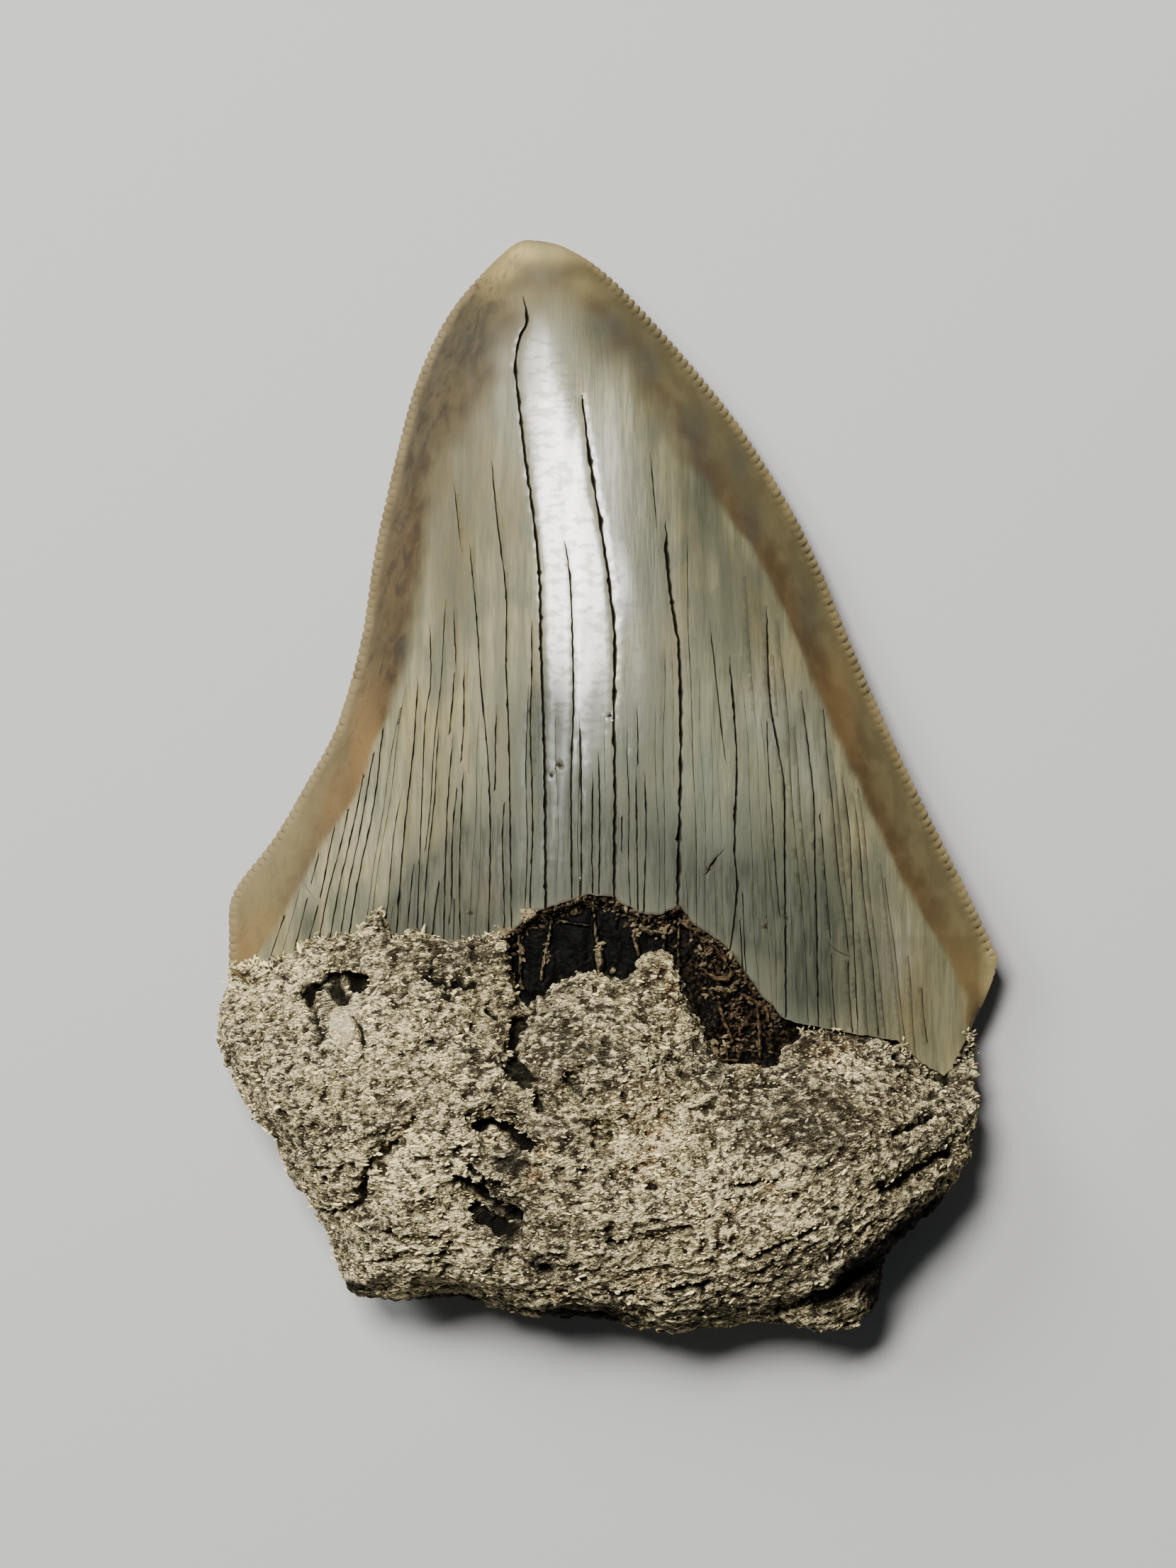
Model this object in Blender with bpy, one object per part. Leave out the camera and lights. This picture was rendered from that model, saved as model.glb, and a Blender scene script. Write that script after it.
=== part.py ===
"""A fossil megalodon tooth that lies on its flat outer face with the domed inner face up.

The tooth grew as one piece, so it is one closed solid: a serrated blade of a crown, a sunken dark
band of bare dentine under the enamel, and a rough, worn root. The tip points along +Y, and the
origin is on the resting plane, under the middle of the box around the tooth.

Lengths below are in millimetres, and the mesh is scaled to metres when it is made.
"""
import math

import bmesh
import bpy
from mathutils import Vector, noise
from mathutils.geometry import delaunay_2d_cdt

MM = 0.001

# Plan of the tooth, from above. Each path runs clockwise, and is smoothed at the outline step.
OUTLINE_STEP = 0.25
TIP_Y = 50.8
RIGHT_EDGE = [
    (-6.6, 50.8), (-3.9, 50.1), (0.3, 47.3), (6.4, 40.8), (12.6, 33.0), (18.4, 23.2), (22.4, 13.7),
    (27.0, 3.0), (32.8, -8.8), (35.6, -14.7), (36.2, -16.3), (35.2, -19.4), (33.7, -22.6),
]
ROOT_EDGE = [
    (33.7, -22.6), (34.2, -26.0), (34.1, -31.3), (32.6, -36.0), (29.6, -39.6), (26.2, -42.8),
    (25.0, -45.6), (24.5, -48.5), (22.8, -50.0), (19.2, -50.5), (12.9, -49.7),
    (5.4, -50.8), (0.1, -49.6), (-7.7, -49.0), (-13.6, -47.5), (-19.5, -47.7), (-23.7, -46.9),
    (-25.6, -42.9), (-27.4, -38.7), (-29.4, -36.4), (-30.7, -33.2), (-33.3, -29.8), (-35.9, -24.6),
    (-36.2, -21.9), (-35.2, -18.0),
]
LEFT_EDGE = [
    (-35.2, -18.0), (-35.2, -14.1), (-34.8, -10.1), (-31.0, -4.9), (-27.9, 0.4), (-25.2, 5.6),
    (-23.0, 13.5), (-21.8, 21.4), (-20.1, 29.2), (-17.8, 37.8), (-14.4, 44.6), (-9.1, 50.2),
    (-6.6, 50.8),
]

# Serrations along both cutting edges. The tip and the lowest ends of the edges are worn smooth.
SERRATION_PITCH = 0.75
SERRATION_POINTS = 3
SERRATION_DEPTH = 0.32
SERRATED_FROM_Y = -15.0
SERRATED_TO_Y = 46.0
SERRATION_FADE = 4.0

# Lower border of the enamel on the upper face, and the top edge of the root below the bare band.
ENAMEL_BORDER = [
    (-36.5, -17.4), (-32.3, -17.0), (-29.7, -16.4), (-27.4, -14.7), (-23.2, -14.2), (-21.0, -11.8),
    (-19.9, -14.6), (-17.3, -14.1), (-14.3, -15.0), (-9.4, -13.9), (-6.4, -11.6), (-1.8, -10.1),
    (0.1, -10.3), (2.8, -11.8), (4.7, -12.0), (6.4, -11.1), (7.7, -12.8), (10.6, -14.7),
    (13.9, -19.3), (16.2, -21.6), (22.4, -22.9), (26.5, -23.6), (29.0, -25.9), (31.0, -26.9),
    (32.9, -25.6), (34.6, -22.4), (36.5, -19.0),
]
ROOT_TOP = [
    (-9.4, -13.9), (-8.7, -18.0), (-7.8, -21.0), (-6.3, -20.0), (-3.8, -18.3),
    (-1.8, -17.4), (1.4, -18.3), (2.4, -17.7), (3.1, -15.7), (5.7, -15.4), (6.7, -18.3),
    (7.7, -21.3), (9.3, -23.9), (10.6, -25.9), (15.5, -25.9), (15.9, -24.6), (18.8, -22.3),
]
ROOT_UPPER_EDGE = (
    [point for point in ENAMEL_BORDER if point[0] < ROOT_TOP[0][0]] + ROOT_TOP
    + [point for point in ENAMEL_BORDER if point[0] > ROOT_TOP[-1][0]]
)
BACK_BORDER = [(-36.5, -20.0), (-22.0, -23.0), (0.0, -20.5), (20.0, -23.5), (36.5, -23.0)]

# Heights. The cutting edge is a thin wall halfway between the two faces.
CUTTING_EDGE = 0.3
TIP_EDGE_Z = 1.3
LOBE_EDGE_Z = 4.6
CROWN_FOOT_Y = -14.0
CROWN_DOME = 9.2
DOME_START = 0.75
DOME_POWER = 1.2
NARROWEST = 0.01
OUTER_FACE_POWER = 0.8
OUTER_FACE_BOW = 1.3
TIP_REST_Y = 46.0
BARE_BAND_SINK = 1.1
ROOT_LEDGE = 0.9
BACK_LEDGE = 0.35

ROOT_TOP_Z = 20.0
ROOT_TOP_CENTRE = (-3.0, -29.0)
ROOT_FALL_X = 0.0036
ROOT_FALL_UP = 0.010
ROOT_FALL_DOWN = 0.013
ROOT_SWELL = 10.0
ROOT_RIM_Z = 7.0
ROOT_RIM_WALL = 5.0
ROOT_RIM_LEFT_Y = -17.5
ROOT_RIM_RIGHT_Y = -24.5
ROOT_RIM_TURN_X = 20.0
ROOT_RIM_RISE = 8.0
ROOT_SHOULDER = 1.0
RIM_NOISE = (5.0, 20.0, 35.0)
ROOT_ROUNDING = 8.5
ROOT_ROUNDING_POWER = 2.3
UNDERSIDE_ROUNDING = 7.0

# The worn flat patch under the root, on which the tooth rests.
PATCH_CENTRE = (-2.0, -34.0)
PATCH_HALF = (15.0, 6.5)
PATCH_POINTS = 16
PATCH_CORE = 0.7
UNDERSIDE_RISE = 0.012
UNDERSIDE_POWER = 1.8
ROUGH_PAST_PATCH = (1.0, 4.0)
LOWEST_OVER_RIM = 0.3

# Lumps of the root: wavelength and height of each scale. Each face has a level of the noise to itself.
LUMPS = [(9.0, 1.1), (3.6, 0.65), (1.9, 0.4)]
NOISE_SEED = Vector((13.7, 5.1, 2.9))
UPPER_NOISE = 0.0
LOWER_NOISE = 40.0

# Pits and hollows of the root's upper face: centre, half length, half width, turn in degrees and depth.
HOLLOWS = [
    (-9.4, -31.4, 3.2, 1.2, -18.0, 2.2),
    (-10.8, -38.4, 3.6, 1.6, -28.0, 2.6),
    (-8.6, -42.6, 1.7, 1.2, 60.0, 1.0),
    (-3.2, -26.8, 1.6, 0.9, 62.0, 1.5),
    (-0.4, -31.4, 1.3, 1.0, 80.0, 1.6),
    (-6.2, -28.6, 1.1, 0.9, 0.0, 1.1),
    (-5.4, -44.0, 1.0, 0.9, 0.0, 1.2),
    (-24.4, -18.9, 3.4, 1.1, 6.0, 2.0),
    (-28.0, -22.6, 2.0, 1.1, 48.0, 1.0),
    (-19.4, -33.2, 3.0, 1.0, 52.0, 1.4),
    (-23.0, -38.4, 4.0, 1.3, 24.0, 1.7),
    (28.6, -35.0, 3.8, 1.3, 30.0, 1.9),
    (-8.2, -23.8, 3.0, 0.9, 84.0, 1.3),
    (13.0, -39.0, 4.6, 1.2, 16.0, 0.7),
    (4.0, -41.5, 3.6, 1.1, -8.0, 0.7),
    (22.4, -30.0, 3.6, 1.1, 14.0, 0.7),
    (-16.5, -24.5, 3.0, 1.1, -14.0, 0.7),
    (6.5, -30.0, 3.4, 1.1, 8.0, 0.7),
]
HOLLOW_FLOOR = 0.6
HOLLOW_BRIM = 1.5
HOLLOW_SIDES = 8

# The low shelf at the foot of the root, where a piece of its right side broke away.
SHELF_EDGE = [
    (10.0, -50.5), (13.0, -48.3), (16.5, -47.2), (20.4, -45.9), (21.9, -44.4), (25.2, -42.2),
    (28.3, -40.4), (31.0, -38.2),
]
SHELF_LEFT_X = 9.0
SHELF_RISE = 0.6

# Spacing of the points over the faces.
CROWN_STEP = 2.5
ROOT_STEP = 1.35
BACK_CROWN_STEP = 4.0
BACK_ROOT_STEP = 2.3
ROOT_EDGE_STEP = 1.2
BORDER_STEP = 1.0
BORDER_GAP = 0.22
MID_RIM_FROM = 1.0
CLEARANCE = 0.55
SAME_POINT = 1e-5

TOOTH_COLOUR = (0.36, 0.31, 0.22, 1.0)
TOOTH_ROUGHNESS = 0.55
SHARP_ANGLE = 35.0


def smoothstep(low, high, value):
    """Ease from 0 at low to 1 at high."""
    t = min(max((value - low) / (high - low), 0.0), 1.0)
    return t * t * (3.0 - 2.0 * t)


def spline(points, step):
    """Points about one step apart on a Catmull-Rom curve through the given points, ends included."""
    ends = [points[0], *points, points[-1]]
    path = []
    for i in range(len(points) - 1):
        p0, p1, p2, p3 = (Vector(p) for p in ends[i:i + 4])
        count = max(1, round((p2 - p1).length / step))
        for k in range(count):
            t = k / count
            path.append(0.5 * (2 * p1 + (p2 - p0) * t + (2 * p0 - 5 * p1 + 4 * p2 - p3) * t ** 2
                               + (3 * p1 - p0 - 3 * p2 + p3) * t ** 3))
    path.append(Vector(points[-1]))
    return path


def along(path, step):
    """The path walked again with points exactly one step apart along its length."""
    walked = [path[0].copy()]
    left = step
    for start, end in zip(path, path[1:]):
        length = (end - start).length
        while left <= length:
            walked.append(start.lerp(end, left / length))
            left += step
        left -= length
    return walked


def line_y(points, x):
    """Height of a border line at x. The points run from left to right."""
    for (x0, y0), (x1, y1) in zip(points, points[1:]):
        if x <= x1:
            return y0 + (y1 - y0) * max(x - x0, 0.0) / (x1 - x0)
    return points[-1][1]


def edge_x(path, y):
    """Where a cutting edge crosses the level y."""
    for start, end in zip(path, path[1:]):
        low, high = sorted((start.y, end.y))
        if low <= y <= high and high > low:
            return start.x + (end.x - start.x) * (y - start.y) / (end.y - start.y)
    return min((start, path[-1]), key=lambda point: abs(point.y - y)).x


def serrated(path):
    """Cut rounded serrations into a clockwise cutting edge. Three points make each one."""
    fine = along(path, SERRATION_PITCH / SERRATION_POINTS)
    cut = [fine[0]]
    for i in range(1, len(fine) - 1):
        forward = (fine[i + 1] - fine[i - 1]).normalized()
        inward = Vector((forward.y, -forward.x))
        fade = (smoothstep(SERRATED_FROM_Y - SERRATION_FADE, SERRATED_FROM_Y, fine[i].y)
                * smoothstep(SERRATED_TO_Y + SERRATION_FADE, SERRATED_TO_Y, fine[i].y))
        at_notch = i % SERRATION_POINTS == 0
        if fade > 0.0 or at_notch:
            cut.append(fine[i] + inward * (SERRATION_DEPTH if at_notch else 0.0) * fade)
    cut.append(path[-1].copy())
    return cut


RIGHT_PATH = spline(RIGHT_EDGE, OUTLINE_STEP)
LEFT_PATH = spline(LEFT_EDGE, OUTLINE_STEP)
ROOT_PATH = along(spline(ROOT_EDGE, OUTLINE_STEP), ROOT_EDGE_STEP)
ROOT_UPPER_PATH = along([Vector(point) for point in ROOT_UPPER_EDGE], ROOT_EDGE_STEP)


def across(x, y):
    """Place across the crown: -1 on its left edge, 1 on its right edge."""
    level = max(y, CROWN_FOOT_Y)
    left = edge_x(LEFT_PATH, level)
    right = edge_x(RIGHT_PATH, level)
    return min(max((2.0 * x - left - right) / max(right - left, NARROWEST), -1.0), 1.0)


def down_the_crown(y):
    """0 at the tip, 1 at the foot of the crown."""
    return min(max((TIP_Y - y) / (TIP_Y - CROWN_FOOT_Y), 0.0), 1.0)


def rootness(x, y):
    """0 where the rim is a cutting edge, 1 where it is the root's side. The right blade reaches lower."""
    to_right = smoothstep(-ROOT_RIM_TURN_X, ROOT_RIM_TURN_X, x)
    start = ROOT_RIM_LEFT_Y + (ROOT_RIM_RIGHT_Y - ROOT_RIM_LEFT_Y) * to_right
    return smoothstep(start, start - ROOT_RIM_RISE, y)


def rim_z(x, y):
    """Height of the middle of the rim, all round the tooth."""
    crown = TIP_EDGE_Z + (LOBE_EDGE_Z - TIP_EDGE_Z) * down_the_crown(y)
    return crown + (ROOT_RIM_Z - crown) * rootness(x, y)


def rim_wall(x, y):
    """Thickness of the rim: a thin cutting edge round the crown and a thick side round the root."""
    return CUTTING_EDGE + (ROOT_RIM_WALL - CUTTING_EDGE) * rootness(x, y)


def distance(path, x, y):
    """Distance from a place to the nearest point of a path."""
    place = Vector((x, y))
    return min((place - point).length for point in path)


def rounding(x, y, radius):
    """0 at the root's shoulder, rising round to 1 at one radius from it."""
    t = min(max(distance(ROOT_PATH, x, y) - ROOT_SHOULDER, 0.0) / radius, 1.0)
    return (1.0 - (1.0 - t) ** ROOT_ROUNDING_POWER) ** (1.0 / ROOT_ROUNDING_POWER)


def lumps(x, y, side):
    """Uneven worn surface of the root."""
    height = 0.0
    for wavelength, size in LUMPS:
        height += size * noise.noise(Vector((x, y, side)) / wavelength + NOISE_SEED)
    return height


def hollow_depth(x, y):
    """Depth of the pits and hollows at a place on the root."""
    depth = 0.0
    for centre_x, centre_y, half_length, half_width, turn, deepest in HOLLOWS:
        angle = math.radians(turn)
        dx = (x - centre_x) * math.cos(angle) + (y - centre_y) * math.sin(angle)
        dy = (y - centre_y) * math.cos(angle) - (x - centre_x) * math.sin(angle)
        reach = math.hypot(dx / half_length, dy / half_width)
        depth = max(depth, deepest * smoothstep(HOLLOW_BRIM, HOLLOW_FLOOR, reach))
    return depth


def hollow_points():
    """The middle, the floor's edge and the brim of every pit and hollow."""
    points = []
    for centre_x, centre_y, half_length, half_width, turn, _ in HOLLOWS:
        centre = Vector((centre_x, centre_y))
        along_it = Vector((math.cos(math.radians(turn)), math.sin(math.radians(turn))))
        across_it = Vector((-along_it.y, along_it.x))
        points.append(centre)
        for reach in (HOLLOW_FLOOR, HOLLOW_BRIM):
            for k in range(HOLLOW_SIDES):
                angle = 2 * math.pi * k / HOLLOW_SIDES
                points.append(centre + along_it * reach * half_length * math.cos(angle)
                              + across_it * reach * half_width * math.sin(angle))
    return points


def crown_front(x, y):
    """The domed inner face of the crown."""
    dome = CROWN_DOME * math.sin(down_the_crown(y) * math.pi / 2) ** DOME_START
    return rim_z(x, y) + dome * (1.0 - across(x, y) ** 2) ** DOME_POWER + CUTTING_EDGE / 2


def root_front(x, y):
    """The swollen, worn inner face of the root."""
    rim = rim_z(x, y) + rim_wall(x, y) / 2
    if x > SHELF_LEFT_X and y < line_y(SHELF_EDGE, x):
        return rim + SHELF_RISE + lumps(x, y, UPPER_NOISE)
    dx = x - ROOT_TOP_CENTRE[0]
    dy = y - ROOT_TOP_CENTRE[1]
    fall = ROOT_FALL_UP if dy > 0.0 else ROOT_FALL_DOWN
    top = ROOT_TOP_Z - ROOT_FALL_X * dx ** 2 - fall * dy ** 2
    ledge = crown_front(x, y) + ROOT_LEDGE
    body = ledge + (top - ledge) * smoothstep(0.0, ROOT_SWELL, distance(ROOT_UPPER_PATH, x, y))
    worn = lumps(x, y, UPPER_NOISE) - hollow_depth(x, y)
    return rim + max(body + worn - rim, LOWEST_OVER_RIM) * rounding(x, y, ROOT_ROUNDING)


def front(x, y):
    """Height of the upper face."""
    if y > line_y(ENAMEL_BORDER, x):
        return crown_front(x, y)
    if y > line_y(ROOT_UPPER_EDGE, x):
        return crown_front(x, y) - BARE_BAND_SINK
    return root_front(x, y)


def back(x, y):
    """Height of the lower face."""
    rim = rim_z(x, y) - rim_wall(x, y) / 2
    border = line_y(BACK_BORDER, x)
    if y > border:
        t = (TIP_REST_Y - y) / (TIP_REST_Y - border)
        middle = OUTER_FACE_BOW * math.sin(math.pi * t) ** 2 + BACK_LEDGE * smoothstep(0.0, 1.0, t)
        return rim - (rim - middle) * (1.0 - across(x, y) ** 2) ** OUTER_FACE_POWER
    dx = max(abs(x - PATCH_CENTRE[0]) - PATCH_CORE * PATCH_HALF[0], 0.0)
    dy = max(abs(y - PATCH_CENTRE[1]) - PATCH_CORE * PATCH_HALF[1], 0.0)
    off_patch = math.hypot(dx, dy)
    rough = abs(lumps(x, y, LOWER_NOISE)) * smoothstep(*ROUGH_PAST_PATCH, off_patch)
    floor = UNDERSIDE_RISE * off_patch ** UNDERSIDE_POWER + rough
    return rim - (rim - floor) * rounding(x, y, UNDERSIDE_ROUNDING)


def hex_points(step):
    """A triangular grid over the tooth's plan."""
    row = step * math.sqrt(3.0) / 2.0
    for j in range(int(2 * TIP_Y / row) + 1):
        for i in range(int(2 * TIP_Y / step) + 1):
            yield Vector((-TIP_Y + (i + 0.5 * (j % 2)) * step, -TIP_Y + j * row))


def inside(outline, place):
    """Whether a place is inside a closed outline."""
    crossings = 0
    for start, end in zip(outline, outline[1:] + outline[:1]):
        if (start.y > place.y) != (end.y > place.y):
            x = start.x + (end.x - start.x) * (place.y - start.y) / (end.y - start.y)
            crossings += x > place.x
    return crossings % 2 == 1


def spread(fixed, outline, border, crown_step, root_step):
    """Fill the plan with points, coarse on the crown and finer on the root, clear of the fixed ones."""
    points = []
    for step, on_crown in ((crown_step, True), (root_step, False)):
        for place in hex_points(step):
            if (place.y > line_y(border, place.x)) != on_crown or not inside(outline, place):
                continue
            if distance(fixed, *place) > CLEARANCE * step:
                points.append(place)
    return points


def border_rows(borders, outline, others=()):
    """Two close rows of points along each border, one on each side, that make its ledge crisp.

    The other points given join them where they are clear of the rows and of the outline.
    """
    candidates = []
    for border in borders:
        path = along([Vector(point) for point in border], BORDER_STEP)
        for i in range(1, len(path) - 1):
            forward = (path[i + 1] - path[i - 1]).normalized()
            aside = Vector((-forward.y, forward.x)) * BORDER_GAP
            candidates += [(path[i] + aside, BORDER_GAP), (path[i] - aside, BORDER_GAP)]
    candidates += [(place, 2 * BORDER_GAP) for place in others]
    rows = []
    for place, gap in candidates:
        clear = not rows or distance(rows, *place) > gap
        if clear and inside(outline, place) and distance(outline, *place) > 2 * BORDER_GAP:
            rows.append(place)
    return rows


def face_sheet(bm, ring, points, height, upward, flat_loop=()):
    """Triangulate one face of the tooth between the ring of rim vertices."""
    plan = [vert.co.to_2d() / MM for vert in ring] + list(points) + list(flat_loop)
    loop = list(range(len(ring)))
    flat = list(range(len(plan) - len(flat_loop), len(plan)))
    flat_edges = [(a, b) for a, b in zip(flat, flat[1:] + flat[:1])]
    places, _, triangles, origins, _, _ = delaunay_2d_cdt(plan, flat_edges, [loop], 1, SAME_POINT)
    verts = []
    for place, origin in zip(places, origins):
        if origin and origin[0] < len(ring):
            verts.append(ring[origin[0]])
        else:
            z = 0.0 if origin and origin[0] in flat else height(place.x, place.y)
            verts.append(bm.verts.new((place.x * MM, place.y * MM, z * MM)))
    for triangle in triangles:
        face = bm.faces.new([verts[i] for i in triangle])
        face.normal_update()
        if (face.normal.z > 0.0) != upward:
            face.normal_flip()


def rim_rings(bm, outline):
    """Make the rim: a thin wall round the crown, and a rounded side with a middle row round the root."""
    columns = []
    count = len(outline)
    for i, place in enumerate(outline):
        forward = (outline[(i + 1) % count] - outline[i - 1]).normalized()
        inward = Vector((-forward.y, forward.x)) * ROOT_SHOULDER * rootness(*place)
        middle = rim_z(*place)
        half = rim_wall(*place) / 2
        worn = [1.0 + noise.noise(Vector((place.x, place.y, level)) / LUMPS[1][0]) for level in RIM_NOISE]
        levels = [(place + inward * worn[0], middle - half), (place + inward * worn[2], middle + half)]
        if half > MID_RIM_FROM:
            levels.insert(1, (place, middle + worn[1] - 1.0))
        columns.append([bm.verts.new((plan.x * MM, plan.y * MM, z * MM)) for plan, z in levels])
    for here, there in zip(columns, columns[1:] + columns[:1]):
        if len(here) == len(there):
            for k in range(len(here) - 1):
                bm.faces.new((here[k], there[k], there[k + 1], here[k + 1]))
        else:
            bm.faces.new((*there, *reversed(here)))
    return [column[-1] for column in columns], [column[0] for column in columns]


def build_tooth():
    """Make the tooth's mesh: an upper and a lower face on the same plan, and the rim between them."""
    outline = serrated(RIGHT_PATH)[:-1] + ROOT_PATH[:-1] + serrated(LEFT_PATH)[:-1]
    outline.reverse()
    bm = bmesh.new()
    upper, lower = rim_rings(bm, outline)

    plan = [vert.co.to_2d() / MM for vert in upper]
    ledges = border_rows((ENAMEL_BORDER, ROOT_TOP, SHELF_EDGE), plan, hollow_points())
    spread_out = spread(plan + ledges, plan, ENAMEL_BORDER, CROWN_STEP, ROOT_STEP)
    face_sheet(bm, upper, ledges + spread_out, front, True)

    patch = []
    for k in range(PATCH_POINTS):
        angle = 2 * math.pi * k / PATCH_POINTS
        patch.append(Vector((PATCH_CENTRE[0] + PATCH_HALF[0] * math.cos(angle),
                             PATCH_CENTRE[1] + PATCH_HALF[1] * math.sin(angle))))
    plan = [vert.co.to_2d() / MM for vert in lower]
    ledges = border_rows((BACK_BORDER,), plan)
    worn = spread(plan + ledges + patch, plan, BACK_BORDER, BACK_CROWN_STEP, BACK_ROOT_STEP)
    face_sheet(bm, lower, ledges + [place for place in worn if not inside(patch, place)], back, False, patch)

    bmesh.ops.triangulate(bm, faces=[face for face in bm.faces if len(face.verts) > 3])
    mesh = bpy.data.meshes.new("tooth")
    bm.to_mesh(mesh)
    bm.free()
    return mesh


def enamel_and_bone():
    """One plain finish for the whole tooth."""
    material = bpy.data.materials.new("fossil_tooth")
    material.use_nodes = True
    shader = material.node_tree.nodes["Principled BSDF"]
    shader.inputs["Base Color"].default_value = TOOTH_COLOUR
    shader.inputs["Roughness"].default_value = TOOTH_ROUGHNESS
    shader.inputs["Metallic"].default_value = 0.0
    return material


for old in list(bpy.data.objects):
    bpy.data.objects.remove(old)

collection = bpy.data.collections.new("megalodon_tooth")
bpy.context.scene.collection.children.link(collection)
tooth = bpy.data.objects.new("tooth", build_tooth())
tooth.data.materials.append(enamel_and_bone())
tooth.data.shade_smooth()
tooth.data.set_sharp_from_angle(angle=math.radians(SHARP_ANGLE))
collection.objects.link(tooth)
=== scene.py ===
"""The looks of a fossil megalodon tooth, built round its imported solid, in the order it is put together."""
import math
import random

import bpy
import numpy as np
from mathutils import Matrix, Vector, kdtree, noise
from mathutils.geometry import delaunay_2d_cdt


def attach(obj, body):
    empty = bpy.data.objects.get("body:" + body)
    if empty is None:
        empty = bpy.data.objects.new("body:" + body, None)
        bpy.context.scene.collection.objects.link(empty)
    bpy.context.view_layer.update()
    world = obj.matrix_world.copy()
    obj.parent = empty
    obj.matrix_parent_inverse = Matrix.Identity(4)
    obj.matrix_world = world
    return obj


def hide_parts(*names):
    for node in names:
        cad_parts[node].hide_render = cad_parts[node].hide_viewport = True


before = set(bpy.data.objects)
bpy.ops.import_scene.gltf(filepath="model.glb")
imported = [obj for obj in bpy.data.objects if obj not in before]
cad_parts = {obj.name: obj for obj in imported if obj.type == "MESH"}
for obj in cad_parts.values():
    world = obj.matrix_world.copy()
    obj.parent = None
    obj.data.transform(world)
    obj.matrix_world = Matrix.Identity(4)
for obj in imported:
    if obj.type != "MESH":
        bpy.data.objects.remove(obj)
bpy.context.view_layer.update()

# ---------------------------------------------------------------------------------------------------
# The crown: a blade of dentine under a skin of enamel, grown as one with the root. The domed inner
# face is up. Fossil enamel is satin and cracks lengthwise as it dries, so every crack is a real
# groove: a plain grid can't follow a hundred of them, so the faces are laid on a triangulated plan.
# ---------------------------------------------------------------------------------------------------
MM = 0.001
TIP_Y = 50.8
RIGHT_EDGE = [
    (-6.6, 50.8), (-3.9, 50.1), (0.3, 47.3), (6.4, 40.8), (12.6, 33.0), (18.4, 23.2), (22.4, 13.7),
    (27.0, 3.0), (32.8, -8.8), (35.6, -14.7), (36.2, -16.3), (35.2, -19.4), (33.7, -22.6),
]
LEFT_EDGE = [
    (-35.2, -17.0), (-35.2, -14.1), (-34.8, -10.1), (-31.0, -4.9), (-27.9, 0.4), (-25.2, 5.6),
    (-23.0, 13.5), (-21.8, 21.4), (-20.1, 29.2), (-17.8, 37.8), (-14.4, 44.6), (-9.1, 50.2),
    (-6.6, 50.8),
]
HIDDEN_FOOT = [(33.7, -22.6), (32.6, -25.4), (31.0, -27.6), (-28.0, -27.6), (-31.6, -22.0), (-32.8, -18.6)]
SERRATION_PITCH = 0.75
RIGHT_SERRATION_DEPTH = 0.40
LEFT_SERRATION_DEPTH = 0.16
SERRATION_SAMPLES = 6
SERRATED_FROM_Y = -15.0
SERRATED_TO_Y = 46.0
SERRATION_FADE = 4.0
SERRATION_ROUNDNESS = 0.7
LEAST_WEAR = 0.75
MORE_WEAR = 0.6
WEAR_PATCH = 1.3
PROUD_BETWEEN_NOTCHES = 0.35
# Rows of points behind each notch: inset, depth and darkness; the darkness is painted shade in the notch.
RIGHT_NOTCH_ROWS = [(0.54, 0.18, 0.75), (0.84, 0.12, 0.36), (1.16, 0.0, 0.0)]
LEFT_NOTCH_ROWS = [(0.26, 0.08, 0.60), (0.62, 0.05, 0.42), (1.00, 0.0, 0.0)]

ENAMEL_BORDER = [
    (-36.5, -17.4), (-32.3, -17.0), (-29.7, -16.4), (-27.4, -14.7), (-23.2, -14.2), (-21.0, -11.8),
    (-19.9, -14.6), (-17.3, -14.1), (-14.3, -15.0), (-9.4, -13.9), (-6.4, -11.6), (-1.8, -10.1),
    (0.1, -10.3), (2.8, -11.8), (4.7, -12.0), (6.4, -11.1), (7.7, -12.8), (10.6, -14.7),
    (13.9, -19.3), (16.2, -21.6), (22.4, -22.9), (26.5, -23.6), (29.0, -25.9), (31.0, -26.9),
    (32.9, -25.6), (34.6, -22.4), (36.5, -19.0),
]
BACK_BORDER = [
    (-36.5, -16.7), (-34.3, -17.2), (-31.5, -20.6), (-22.0, -23.0), (0.0, -20.5), (20.0, -23.5),
    (36.5, -23.0),
]

CUTTING_EDGE = 0.3
TIP_EDGE_Z = 1.3
LOBE_EDGE_Z = 4.6
CROWN_FOOT_Y = -14.0
CROWN_DOME = 9.2
DOME_START = 0.75
DOME_SHAPE = 2.4
DOME_POWER = 1.3
RIDGE_LEAN = 0.12
OUTER_FACE_POWER = 0.8
OUTER_FACE_BOW = 1.3
TIP_REST_Y = 46.0
BACK_LEDGE = 0.35
ROOT_RIM_Z = 7.0
ROOT_RIM_LEFT_Y = -17.5
ROOT_RIM_RIGHT_Y = -24.5
ROOT_RIM_RISE = 8.0
ENAMEL_THICK = 2.3

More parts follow.
